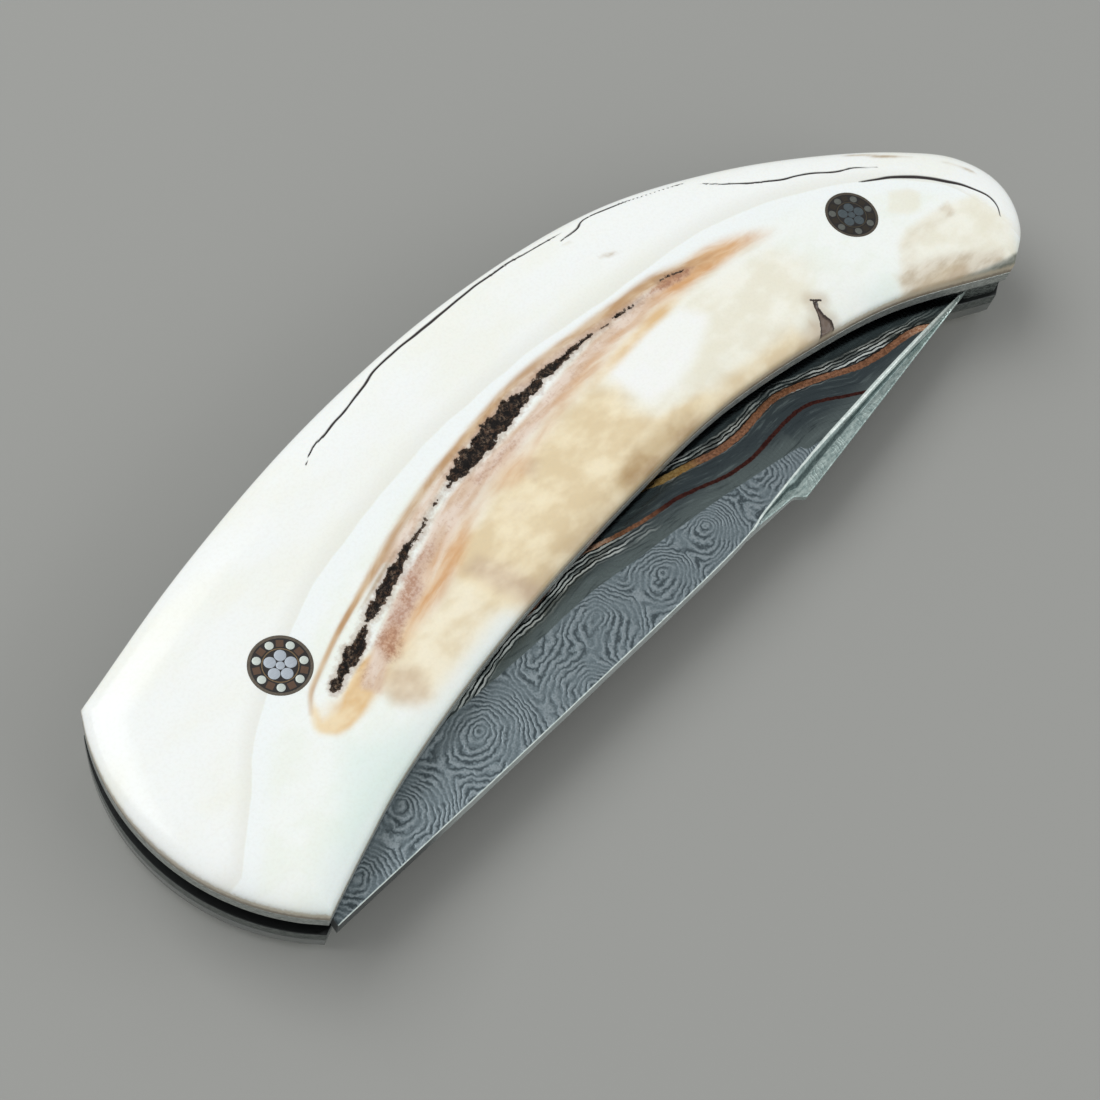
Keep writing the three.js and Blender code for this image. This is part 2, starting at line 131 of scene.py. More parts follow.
# Soft lines of colour as (x, y, half width, strength)
TAN_LINE = [
    (-1.2, -5.4, 0.35, 0.5), (0.3, -3.8, 0.35, 0.9), (2.6, -2.6, 0.35, 1.0), (6.0, -1.0, 0.35, 1.1),
    (9.7, 0.4, 0.4, 1.1), (13.5, 1.8, 0.6, 1.0), (18.2, 3.6, 0.6, 0.9), (24, 5.3, 0.6, 1.0),
    (29.4, 6.5, 0.6, 1.1), (33.1, 7.2, 0.6, 1.1), (36.4, 7.8, 0.7, 1.0), (39.1, 8.1, 0.7, 0.9),
    (43.3, 8.3, 0.7, 0.9), (48.3, 8.2, 0.7, 1.0), (53.4, 8.0, 0.8, 1.1), (58.7, 7.7, 0.9, 1.1),
    (64, 6.5, 1.1, 0.7), (68, 5.6, 1.2, 0.3),
]
ORANGE_LINE = [
    (8.6, -6.0, 0.9, 0.3), (11.4, -4.6, 1.2, 0.9), (14.6, -3.8, 1.3, 1.1), (17.4, -2.8, 1.4, 1.1),
    (20.7, -1.6, 1.4, 1.1), (23.4, -0.3, 1.1, 0.8), (26.8, 0.6, 1.0, 0.5), (30.3, 0.9, 1.6, 0.9),
    (34.0, 1.6, 1.4, 0.6), (39.2, 3.0, 1.1, 0.7), (45.5, 4.3, 0.9, 0.8), (50.8, 5.1, 0.8, 0.7),
    (55.9, 5.4, 0.9, 0.7), (60.4, 5.8, 1.3, 1.2), (64.4, 6.0, 1.4, 1.6), (68.3, 5.5, 1.4, 1.2),
    (71.5, 4.8, 1.3, 0.7), (75.0, 3.6, 1.1, 0.2),
]
GOLD_LINES = [
    [(42, 2.4, 0.8, 0.0), (46, 3.2, 0.9, 0.8), (52, 4.1, 0.8, 1.0), (58, 4.6, 0.8, 0.8), (62, 4.8, 0.8, 0)],
    [
        (0.2, -4.2, 0.3, 0.3), (-0.9, -5.6, 0.5, 0.9), (-1.2, -7.0, 0.8, 1.2), (0.3, -7.7, 0.9, 1.2),
        (1.8, -7.6, 0.9, 1.0), (3.2, -6.8, 0.9, 1.2), (4.8, -6.2, 0.9, 1.1), (6.4, -5.8, 0.7, 0.5),
    ],
    [(2.6, -6.0, 0.4, 0.3), (5.0, -5.3, 0.6, 1.0), (7.4, -4.8, 0.6, 0.9), (9.4, -4.4, 0.4, 0.2)],
]
FAINT_LINES = [
    [(88, 6.8, 0.25, 0.2), (90.1, 5.2, 0.3, 0.7), (92.3, 3.2, 0.3, 0.8), (94.9, 1.1, 0.25, 0.3)],
    [(96.6, -1.0, 0.2, 0.2), (98.4, -4.0, 0.25, 0.6), (99.5, -6.3, 0.2, 0.3)],
    [(8.6, -0.6, 0.2, 0.2), (10.6, -0.1, 0.3, 0.6), (13.6, 1.0, 0.3, 0.6), (16.4, 2.0, 0.2, 0.3)],
    [(53.5, 17.0, 0.2, 0.3), (55.0, 16.9, 0.25, 0.6), (56.3, 16.5, 0.2, 0.2)],
    [(56.0, 13.6, 0.3, 0.3), (57.4, 13.0, 0.4, 0.6), (58.7, 12.5, 0.3, 0.2)],
]
# Painted reflection: the line across the crown where the dome's reflection changes, drawn as a colour
# boundary
REFLECTION_LINE = [
    (-15.7, -13.0), (-10.5, -7.9), (-6.4, -3.9), (1.4, 1.0), (10.7, 5.2), (27.1, 8.7), (46.5, 9.7),
    (67.1, 8.8), (78.1, 6.3), (85.4, 3.0), (89.2, 0.7), (92.1, -1.6), (94.4, -4.3), (95.6, -8.0),
    (96.4, -14.0),
]
# Soft areas of colour: outline, softness of its edge, strength
AREAS = {
    "pale": [
        ([(42, 4.6), (52, 5.4), (62, 5.2), (72, 3.0), (74, -1), (71, -5), (66, -7.4), (56, -7.6),
          (44, -6), (42, 0)], 2.6, 0.9),
        ([(92.6, -5.8), (88.8, -5.3), (85.4, -5.2), (83.4, -6.0), (81.2, -8.4), (79.0, -11.0), (78.6, -14),
          (92, -18), (97, -12), (96, -7)], 0.8, 0.9),
        ([(88.3, -0.5), (90.6, -1.6), (91.3, -3.0), (89.2, -4.6), (87.4, -4.0), (85.9, -2.4)], 0.5, 0.6),
    ],
    "white": [
        ([(46.6, 3.4), (52, 4.4), (58, 3.8), (60, 1), (56, -1.2), (51, -2.8), (47.4, -2.2),
          (46.2, 0.6)], 1.5, 1.0),
    ],
    "cream": [
        ([(20, -2.4), (27, 0.6), (38, 2.6), (43, 3.2), (46, 1), (45.4, -1.5), (46.5, -4.4),
          (52, -5.6), (52, -10), (36, -10.5), (26, -12), (21, -10)], 2.4, 1.0),
        ([(5, -6), (10, -4.8), (15, -4.4), (20, -2.6), (23, -2), (23, -9), (18, -9.6), (13, -10.6),
          (8, -11.6), (5.4, -9.4)], 1.5, 0.75),
        ([(46, -4.8), (52, -5.2), (58, -5.2), (66, -5.6), (68, -9), (46, -9)], 1.5, 0.85),
    ],
    "beige": [
        ([(92.6, -5.8), (88.8, -5.3), (85.4, -5.2), (83.4, -6.0), (81.2, -8.4), (82.2, -9.4),
          (85.2, -7.6), (89, -7.2), (92, -7.4)], 0.7, 0.35),
        ([(80.4, -8.6), (84.6, -9.4), (87.8, -10.6), (90.1, -12.2), (92.9, -13.8), (91, -17),
          (79, -14)], 1.0, 1.0),
        ([(91.3, -5.9), (92.6, -5.8), (92.4, -7.0), (91.3, -7.1)], 0.6, 0.6),
        ([(70, -3), (74, 0), (78, -5), (75, -9), (71, -7)], 2.0, 0.15),
    ],
    "tan": [
        ([(38, -6.8), (41.6, -4.8), (45, -4.6), (48.6, -5.2), (50.5, -6.6), (48.5, -10),
          (40, -10)], 1.7, 0.8),
        ([(22, -8.4), (28, -7.2), (34, -6.4), (40, -6.0), (40, -10), (22, -12)], 1.8, 0.4),
        ([(81.4, -10.2), (85.6, -10.8), (88.5, -12.0), (88, -16), (79.6, -13)], 1.0, 0.5),
        ([(65, -7.4), (68.3, -5.9), (69.6, -7.8), (68.6, -9.6), (64, -9.6)], 1.2, 0.6),
    ],
    "gold": [
        ([(52, -5.6), (58, -6.0), (64, -6.6), (62, -9), (52, -9)], 1.6, 0.35),
        ([(-0.6, -5.4), (0.8, -5.2), (3, -5.9), (6, -5.3), (8, -5.6), (7, -7.8), (3, -8.6),
          (-0.6, -8.4)], 1.0, 0.6),
        ([(24.6, -1.2), (28, -1.0), (30, -2.4), (27, -4.6), (24, -3.8)], 1.6, 0.25),
        ([(8.6, -4.8), (11, -4.2), (15, -3.0), (17, -3.0), (14, -5.0), (10, -6.8), (8, -6.6)], 1.0, 0.6),
    ],
    "peach": [
        ([(4, -6.4), (7.6, -4.2), (12.5, -1.9), (16.9, -0.2), (21.7, 2.2), (25.6, 3.2), (31, 3.8),
          (36.4, 4.4), (41.7, 5.6), (48, 6.6), (56, 7.0), (62, 6.6), (56, 5.6), (48, 5.0), (40, 3.6),
          (31, 2.0), (27, 1.4), (23, 0.2), (18, -1.8), (13, -3.6), (8, -5.8), (5, -8)], 0.7, 1.0),
        ([(14, 1.8), (22, 4.6), (32, 6.9), (42, 8.2), (54, 7.8), (60, 7.4), (50, 7), (42, 7), (30, 6),
          (22, 3.2), (15, 0.8)], 0.5, 0.75),
    ],
    "mauve": [
        ([(7.6, -4.2), (12.5, -2.0), (15.5, -1.0), (15.5, -2.8), (12.5, -4.0), (8.4, -5.4)], 0.7, 0.9),
        ([(14, -0.6), (17.4, 0.2), (20, 0.6), (19, -0.6), (15.4, -1.8)], 0.7, 0.7),
        ([(26.5, 3.0), (31.6, 3.2), (36, 3.9), (33, 2.6), (27, 1.8)], 0.6, 0.5),
        ([(56.6, 6.9), (58.6, 7.5), (61.6, 7.0), (63.4, 6.2), (61, 6.0), (58.6, 6.4)], 0.5, 1.1),
    ],
    "shade": [
        ([(19.4, -3.6), (21.6, -3.6), (23.6, -6.6), (24.6, -10.5), (21.4, -10.2), (19.8, -6.4)], 1.6, 0.85),
        ([(5.4, -7.0), (8.2, -6.6), (9.6, -8.6), (8.8, -11.4), (6.6, -11.4), (5.0, -9.8)], 1.4, 0.7),
        ([(30.6, 0.8), (33.0, 1.6), (33.8, 0.0), (31.8, -1.4)], 1.1, 0.7),
        ([(27, -1.4), (29, -1.2), (29.4, -3.0), (27.4, -3.2)], 1.0, 0.45),
    ],
    "rust": [
        ([(8.0, -4.2), (9.8, -3.4), (11.2, -3.6), (10.6, -5.0), (8.8, -6.6), (7.4, -6.2)], 0.9, 0.9),
        ([(12.0, -2.4), (15.5, -0.9), (17.6, -0.8), (15.4, -2.2), (12.6, -3.4)], 0.8, 0.55),
        ([(3.6, -6.0), (5.2, -5.0), (6.8, -4.6), (6.0, -5.8), (4.4, -6.6)], 0.4, 0.5),
        ([(26.4, 2.8), (30.4, 3.2), (34.6, 4.0), (33, 3.0), (28, 2.0)], 0.5, 0.4),
        ([(57.6, 6.8), (59.2, 7.3), (61.4, 7.0), (63.2, 6.3), (61, 6.1), (59, 6.4)], 0.45, 1.3),
    ],
    "cool": [
        ([(-18, -22), (-6, -14), (-1, -9.6), (6, -12.4), (14, -12.4), (4, -20)], 3.0, 0.9),
        ([(13, -11.2), (17, -9.8), (21, -10.4), (24, -12), (22, -15), (12, -15)], 1.6, 0.6),
        ([(75, -7), (80, -7), (80, -12), (74, -12)], 1.6, 0.5),
    ],
    # Painted reflection: the front rim at the nose darkened where it mirrors its dark surroundings
    "rim": [
        ([(77, -10.3), (79.3, -11.0), (83, -11.9), (86.4, -12.9), (90, -14.0), (92.8, -14.8), (95, -15),
          (93, -18), (78, -16)], 0.45, 1.0),
    ],
}
# Paints of the figure in the order they are laid on: the value that places each, its light and dark
# colour, the amounts at which it starts and is full, the noise that breaks it up and how strongly
PAINTS = [
    ("cool", (230, 247, 240), (238, 248, 246), 0.0, 1.1, "broad", 0.6),
    ("pale", (250, 249, 235), (241, 238, 220), 0.0, 1.1, "clouds", 0.6),
    ("white", (253, 255, 253), (252, 255, 250), 0.0, 1.0, "clouds", 0.3),
    ("cream", (249, 236, 203), (231, 212, 174), 0.0, 1.05, "clouds", 0.5),
    ("beige", (232, 225, 208), (208, 196, 174), 0.0, 1.0, "rows", 0.4),
    ("gold", (246, 226, 188), (230, 194, 142), 0.1, 1.2, "clouds", 0.8),
    ("tan", (208, 184, 142), (186, 156, 114), 0.05, 1.0, "clouds", 0.6),
    ("shade", (224, 204, 178), (204, 180, 152), 0.05, 1.1, "clouds", 0.8),
    ("peach", (236, 219, 204), (221, 195, 170), 0.05, 0.9, "streaks", 0.7),
    ("orange", (231, 193, 150), (218, 168, 118), 0.1, 1.3, "streaks", 0.9),
    ("mauve", (214, 188, 172), (192, 154, 134), 0.05, 1.0, "fine", 1.4),
    ("tan_line", (216, 188, 152), (194, 156, 116), 0.12, 1.15, "streaks", 0.6),
    ("rust", (204, 160, 128), (172, 126, 98), 0.1, 1.1, "fine", 1.4),
    ("faint", (206, 192, 170), (190, 172, 146), 0.1, 0.9, "streaks", 1.0),
    # Painted reflection: the rim area turns grey
    ("rim", (164, 168, 158), (124, 128, 118), 0.1, 0.9, "rows", 0.4),
]
# How much of each colour shows on the bottom scale, which has no cracks
QUIET_SHARE = 0.5

# Liners
LINER_BEVEL = 0.08

# Blade
EDGE_HALF = 0.15
EDGE_BREAK = 0.12  # chamfer along the spine
SPINE_LINE = [
    (HEEL, -20.6), (15.1, -19.82), (43.1, -18.69), (50, -17.62), (56, -16.68), (61.6, -15.95),
    (67, -15.45), (72, -14.93), (80, -14.25), (TIP, -13.6),
]
EDGE_LINE = [(11, -3), (44.7, -3.21), (67.9, -5.01), (80.5, -8.3), (TIP, -13.6)]
GRIND_LINE = [
    (9, -12.8), (14.5, -12.8), (22, -12.7), (25, -12.55), (29.7, -12.4), (33, -12.6), (36, -12.85),
    (39.5, -13.03), (43, -13.25), (47.5, -13.6), (52, -14.1), (56, -14.55), (59, -15.0), (61.6, -15.9),
    (TIP, -17),
]
HOLLOW_START = 47.0  # where the upper face begins to draw back from the spine
STEP_START, STEP_END = 54.0, 55.4
SWEDGE_WIDTH = 2.41  # at the step; it runs out to nothing at the tip
SWEDGE_FLAT = 0.42  # half thickness of the light facet at the crest
GROOVE_SHARE = 0.42  # share of the swedge taken up by the hollow beside the spine
GROOVE_DEPTH = 0.12
PLUNGE_START, PLUNGE_END = 12.0, 19.0
BOSS_RADIUS = 8.0
KICK_TOP, KICK_END, KICK_CHAMFER = -0.2, 14.5, 0.8
BLADE_BORE = PIN_RADIUS + 0.05
BLADE_GRID = 0.45
BLADE_STEP = 0.4  # spacing of the mesh along the spine and the grind line
GRIND_END = 61.0  # where the grind line runs into the swedge
RING_PITCH = 0.41  # of the etched lines
WHITE_PITCH = 0.4
# Layers of the bevel: two of copper, and white ones as (x, y, strength)
COPPER_1 = [
    (15, -5.2), (26, -4.8), (36, -6.2), (42.5, -7.4), (44.3, -7.97), (46.8, -8.46), (48.8, -8.88),
    (50.6, -9.31), (52.4, -9.58), (55, -9.63), (58, -9.25), (60.7, -8.94), (63, -9.21), (67.1, -10.5),
    (69.3, -11.4), (71.6, -12.3), (74.9, -12.87), (77, -13.0), (79.3, -13.2), (81.2, -13.7), (83, -15),
]
COPPER_2 = [
    (13, -8.4), (18, -9.4), (22.8, -9.8), (25.4, -9.5), (28.6, -8.8), (31.2, -8.46), (34.4, -9.09),
    (36.2, -9.51), (38.1, -9.91), (40, -10.2), (41.9, -10.4), (43.5, -10.53), (45.2, -10.84),
    (47.8, -11.54), (49.7, -12.06), (51.7, -12.39), (54.6, -12.42), (57.5, -12.04), (60.3, -11.74),
    (62.9, -11.8), (64.9, -12.46), (67.3, -13.76), (69.9, -15.17),
]
WHITE = [
    (11, -13, 0.6), (14.2, -11.9, 1.0), (16.9, -11.0, 1.0), (20.7, -10.4, 1.0), (25.0, -10.3, 1.0),
    (28.8, -9.6, 1.0), (30.5, -9.5, 1.0), (32.2, -9.65, 1.0), (34.6, -10.2, 0.8), (36.8, -10.5, 0.5),
    (39.0, -10.7, 0.3), (41.0, -10.9, 0.0), (43.5, -8.2, 0.0), (46.0, -7.9, 0.6), (49.0, -8.4, 1.0),
    (52.4, -9.0, 1.0), (55.0, -9.05, 0.9), (58.4, -8.7, 0.6), (62.0, -8.6, 0.5), (66.2, -9.7, 0.9),
    (69.5, -10.6, 0.9), (72.6, -11.3, 0.9), (75.9, -12.1, 0.8), (79.1, -12.5, 0.6), (81.6, -12.9, 0.3),
    (86, -13.4, 0.0),
]
# Middles of the eyes in the etched pattern, with their half lengths along the blade
EYES = [
    (28.3, -14.5, 3.2), (11.2, -15.6, 2.6), (44.0, -14.6, 2.6), (36.7, -15.6, 0.9),
    (0.9, -16.0, 2.0), (53.3, -13.6, 1.6), (-6.5, -18.4, 1.2), (5, -8, 2.4), (-3, 4, 2.4), (18, -8, 2),
    (22.8, -19.5, 1.0),
]
# How strongly the etched lines keep to the eyes, against running across the blade
EYE_PULL = 0.8
EYE_STRETCH = 1.15  # length of the rings against their width
EYE_FALL = 1.6  # how fast an eye gives way to its neighbours, a millimetre

# Mosaic pins
TUBE_WALL = 0.28
INNER_TUBE = 1.72
INNER_WALL = 0.1
ROD_COUNT, ROD_RADIUS, ROD_CIRCLE = 7, 0.41, 2.2
BAR_WIDTH = 0.7
PETAL_COUNT, PETAL_RADIUS, PETAL_CIRCLE = 5, 0.565, 1.0
CENTRE_RADIUS = 0.41
ROD_CLEARANCE = 0.008
ROD_DOME = 0.012
PIN_TURNS = {"pivot_pin": 0.28 * math.pi, "spacer_pin": 0.34 * math.pi}
# Metals of the pins: light and dark colour, least roughness, and metallic value where it isn't 1
PIN_METALS = {
    "tube": ((134, 126, 114), (88, 80, 72), 0.25),
    "brass": ((160, 138, 108), (116, 98, 76), 0.25),
    "resin": ((34, 30, 29), (14, 12, 12), 0.3, 0.0),
    "rod": ((228, 236, 230), (184, 194, 188), 0.35, 0.6),
    "petal": ((200, 209, 218), (158, 168, 178), 0.35, 0.6),
    "copper": ((112, 90, 76), (84, 66, 54), 0.4, 0.7),
}
# The second pin is darker, as painted shade
SHADED_PIN_METALS = {
    "rod": ((146, 150, 144), (78, 80, 76), 0.3, 0.8),
    "petal": ((116, 128, 134), (70, 80, 84), 0.3, 0.8),
    "copper": ((80, 74, 66), (56, 52, 46), 0.4, 0.8),
    "brass": ((118, 110, 94), (84, 78, 66), 0.3),
}

# Camera, floor and world
CAMERA_PLACE = (-54.3287, -51.1474, 162.4027)  # from the middle of the pivot pin's head
CAMERA_RIGHT = (0.69536, -0.70002, 0.16261)
CAMERA_UP = (0.57033, 0.6752, 0.46779)
CAMERA_AHEAD = (0.43726, 0.23254, -0.86875)
SENSOR = 36.0
FOCAL_PIXELS, IMAGE_PIXELS = 1950, 1100
FLOOR_REACH = 3.0  # metres
WORLD_STRENGTH = 0.48

# Meshes
NO_POINTS = np.empty((0, 2))
LEAST_GAP = 0.03  # from a mesh's edge to its inner points


# Plan geometry, on arrays of points with one row each


def distance_to(points, line):
    """Least distance from each point to a line, and the place along the line in segments."""
    line = np.asarray(line, float)[:, :2]
    best = np.full(len(points), 1e9)
    place = np.zeros(len(points))
    for i, (a, b) in enumerate(zip(line, line[1:])):
        way = b - a
        share = np.clip((points - a) @ way / max(way @ way, 1e-12), 0, 1)
        gap = np.hypot(*(points - a - share[:, None] * way).T)
        nearer = gap < best
        best[nearer] = gap[nearer]
        place[nearer] = i + share[nearer]
    return best, place


def smooth(points, steps=8):
    """A finer line through the points, as a Catmull-Rom spline."""
    points = np.asarray(points, float)
    before = 2 * points[0] - points[1]
    after = 2 * points[-1] - points[-2]
    knots = np.vstack([before, points, after])
    fine = []
    for i in range(1, len(knots) - 2):
        p0, p1, p2, p3 = knots[i - 1 : i + 3]
        for t in np.arange(steps) / steps:
            a = 2 * p1 + (p2 - p0) * t
            b = (2 * p0 - 5 * p1 + 4 * p2 - p3) * t**2
            c = (3 * p1 - p0 - 3 * p2 + p3) * t**3
            fine.append((a + b + c) / 2)
    fine.append(points[-1])
    return np.array(fine)


def edge_gap(points, loop):
    """Least distance from each point to a closed loop."""
    return distance_to(points, np.vstack([loop, loop[:1]]))[0]


def distance_and_values(points, line):
    """Distance to a smooth line, and the line's further values at the nearest place."""
    fine = smooth(line)
    gap, place = distance_to(points, fine)
    steps = np.arange(len(fine))
    return gap, [np.interp(place, steps, column) for column in fine[:, 2:].T]


def height_at(line, x, column=1):
    """Y of a smooth line at X, or another of its values there."""
    fine = smooth(line)
    return np.interp(x, fine[:, 0], fine[:, column])


def normals_of(line):
    way = np.gradient(line, axis=0)
    way /= np.hypot(*way.T)[:, None]
    return np.column_stack([-way[:, 1], way[:, 0]])


def inside(points, loop):
    """True for the points inside a closed loop."""
    found = np.zeros(len(points), bool)
    x, y = points.T
    for (ax, ay), (bx, by) in zip(loop, np.roll(loop, -1, axis=0)):
        crosses = (ay > y) != (by > y)
        at_x = ax + (y - ay) * (bx - ax) / (by - ay if by != ay else 1e-12)
        found ^= crosses & (x < at_x)
    return found


def depth_in(points, loop):
    """Distance to the edge of a closed loop, negative for the points outside it."""
    return edge_gap(points, loop) * np.where(inside(points, loop), 1, -1)


def circle(x, y, radius, sides=64, start=0.0):
    angles = start + 2 * math.pi * np.arange(sides) / sides
    return np.column_stack([x + radius * np.cos(angles), y + radius * np.sin(angles)])


def grid_points(low, high, spacing):
    """A grid of points with every second row moved by half a step."""
    rows = np.arange(low[1], high[1], spacing * 0.87)
    columns = np.arange(low[0], high[0], spacing)
    x, y = np.meshgrid(columns, rows)
    x = x + (np.arange(len(rows)) % 2)[:, None] * spacing / 2
    return np.column_stack([x.ravel(), y.ravel()])


def value_noise(points, size, seed=0):
    """Smooth noise from 0 to 1, with cells of the given size."""
    scaled = np.asarray(points, float) / size
    cell = np.floor(scaled).astype(np.int64)
    fx, fy = (scaled - cell).T
    fx, fy = fx * fx * (3 - 2 * fx), fy * fy * (3 - 2 * fy)

    def corner(dx, dy):
        mixed = (cell[:, 0] + dx) * 374761393 + (cell[:, 1] + dy) * 668265263 + seed * 144269
        mixed = (mixed ^ (mixed >> 13)) * 1274126177 & 0xFFFFFFFF
        return ((mixed ^ (mixed >> 16)) & 0xFFFF) / 0xFFFF

    low = corner(0, 0) * (1 - fx) + corner(1, 0) * fx
    high = corner(0, 1) * (1 - fx) + corner(1, 1) * fx
    return low * (1 - fy) + high * fy


def layered_noise(points, size, layers, seed=0):
    """Smooth noise from 0 to 1 with finer and weaker layers over the coarse one."""
    weights = [0.62**i for i in range(layers)]
    noises = [value_noise(points, size / 2.1**i, seed + i) for i in range(layers)]
    return sum(w * n for w, n in zip(weights, noises)) / sum(weights)


def step_up(value, low, high):
    share = np.clip((value - low) / (high - low), 0, 1)
    return share * share * (3 - 2 * share)


def across(a, b):
    return a[:, 0] * b[:, 1] - a[:, 1] * b[:, 0]


def offset_loop(loop, distance):
    """The points of a loop moved to its left, without those that end up too near the loop."""
    way = np.roll(loop, -1, axis=0) - np.roll(loop, 1, axis=0)
    way /= np.hypot(*way.T)[:, None]
    moved = loop + np.column_stack([-way[:, 1], way[:, 0]]) * distance
    return moved[depth_in(moved, loop) > 0.93 * distance]


def cad_loop(node):
    """The outer edge of the upper face of a flat CAD plate, anticlockwise, in millimetres."""
    mesh = frame["nodes"][node].data
    places = (np.array([v.co for v in mesh.vertices]) - PIVOT) * 1000
    top = places[:, 2].max()
    sides = set()
    for face in mesh.polygons:
        corners = [tuple(np.round(places[i], 3)) for i in face.vertices]
        if face.normal.z > 0.5 and all(abs(c[2] - top) < 0.01 for c in corners):
            sides |= set(zip(corners, corners[1:] + corners[:1]))
    onward = dict((a, b) for a, b in sides if (b, a) not in sides)
    loops = []
    while onward:
        loop = [next(iter(onward))]
        while loop[-1] in onward:
            loop.append(onward.pop(loop[-1]))
        loops.append(np.array(loop[:-1])[:, :2])
    return max(loops, key=lambda loop: np.ptp(loop[:, 0]))


def rounded_loop(loop, steps=6, corner=25):
    """A finer loop through the same points, smooth except where it turns by more than corner."""
    way_in = loop - np.roll(loop, 1, axis=0)
    way_out = np.roll(loop, -1, axis=0) - loop
    turn = np.degrees(np.arctan2(across(way_in, way_out), (way_in * way_out).sum(1)))
    sharp = [i for i in range(len(loop)) if abs(turn[i]) > corner]
    loop = np.roll(loop, -sharp[0], axis=0)
    marks = [i - sharp[0] for i in sharp] + [len(loop)]
    closed = np.vstack([loop, loop[:1]])
    runs = [smooth(closed[a : b + 1], steps)[:-1] for a, b in zip(marks, marks[1:])]
    return np.vstack(runs)


# Meshes


def plan_mesh(outline, holes, extra):
    """Points and triangles that fill an outline with holes, through the extra points inside it."""
    loops = [outline, *holes]
    extra = extra[inside(extra, outline)]
    for loop in loops:
        extra = extra[edge_gap(extra, loop) > LEAST_GAP]
    for hole in holes:
        extra = extra[~inside(extra, hole)]
    edges = []
    start = 0
    for loop in loops:
        edges += [(start + i, start + (i + 1) % len(loop)) for i in range(len(loop))]
        start += len(loop)
    flat = np.vstack([*loops, extra])
    made = delaunay_2d_cdt([Vector(p) for p in flat], edges, [], 0, 1e-5)
    plan = np.array([tuple(v) for v in made[0]])
    faces = np.array(made[2])
    middle = plan[faces].mean(1)
    kept = inside(middle, outline)
    for hole in holes:
        kept &= ~inside(middle, hole)
    faces = faces[kept]
    a, b, c = (plan[faces[:, i]] for i in range(3))
    turned = across(b - a, c - a) < 0
    faces[turned] = faces[turned][:, ::-1]
    used = np.unique(faces)
    renumber = np.full(len(plan), -1)
    renumber[used] = np.arange(len(used))
    return plan[used], renumber[faces].tolist()


def sheet_solid(name, outline, holes, extra, upper, lower=None, fields=None):
    """A closed solid between two heights over a plan outline with holes.

    upper and lower give heights for plan points; without lower it mirrors upper. fields gives
    named values for the points.
    """
    plan, faces = plan_mesh(outline, holes, extra)
    count = len(plan)
    sides = {(f[i], f[(i + 1) % 3]) for f in faces for i in range(3)}
    rims = [(i, j) for i, j in sides if (j, i) not in sides]
    all_faces = faces + [[f[2] + count, f[1] + count, f[0] + count] for f in faces]
    all_faces += [[j, i, i + count, j + count] for i, j in rims]
    heights = (upper(plan), lower(plan) if lower else -upper(plan))
    places = np.vstack([np.column_stack([plan, height]) for height in heights])
    mesh = bpy.data.meshes.new(name)
    mesh.from_pydata(to_row(places).tolist(), [], all_faces)
    for key, values in (fields(plan) if fields else {}).items():
        layer = mesh.attributes.new(key, "FLOAT", "POINT")
        layer.data.foreach_set("value", np.concatenate([values, values]).astype(np.float32))
    mesh.validate()
    return mesh


def linked(name, data):
    """An object of this data in the scene."""
    made = bpy.data.objects.new(name, data)
    bpy.context.scene.collection.objects.link(made)
    return made


def add_piece(name, mesh, body, material, nodes, crease=32):
    """Puts a mesh in the scene in place of CAD nodes, smooth up to the crease angle."""
    mesh.shade_smooth()
    mesh.set_sharp_from_angle(angle=math.radians(crease))
    mesh.materials.clear()
    mesh.materials.append(material)
    piece = linked(name, mesh)
    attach(piece, body)
    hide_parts(*nodes)


def level(height):
    return lambda plan: np.full(len(plan), float(height))


# Material helpers


def srgb(red, green, blue):
    """A colour given in 0 to 255 as the shader's linear values."""

    def linear(value):
        value /= 255
        return value / 12.92 if value <= 0.04045 else ((value + 0.055) / 1.055) ** 2.4

    return (linear(red), linear(green), linear(blue), 1.0)


class Value:
    """An output of a shader node. Sums, products and abs() of it are further nodes."""

    def __init__(self, shader, socket):
        self.shader = shader
        self.socket = socket

    def __add__(self, other):
        return self.shader.math("ADD", self, other)

    def __sub__(self, other):
        return self.shader.math("SUBTRACT", self, other)

    def __mul__(self, other):
        return self.shader.math("MULTIPLY", self, other)

    def __abs__(self):
        return self.shader.math("ABSOLUTE", self)


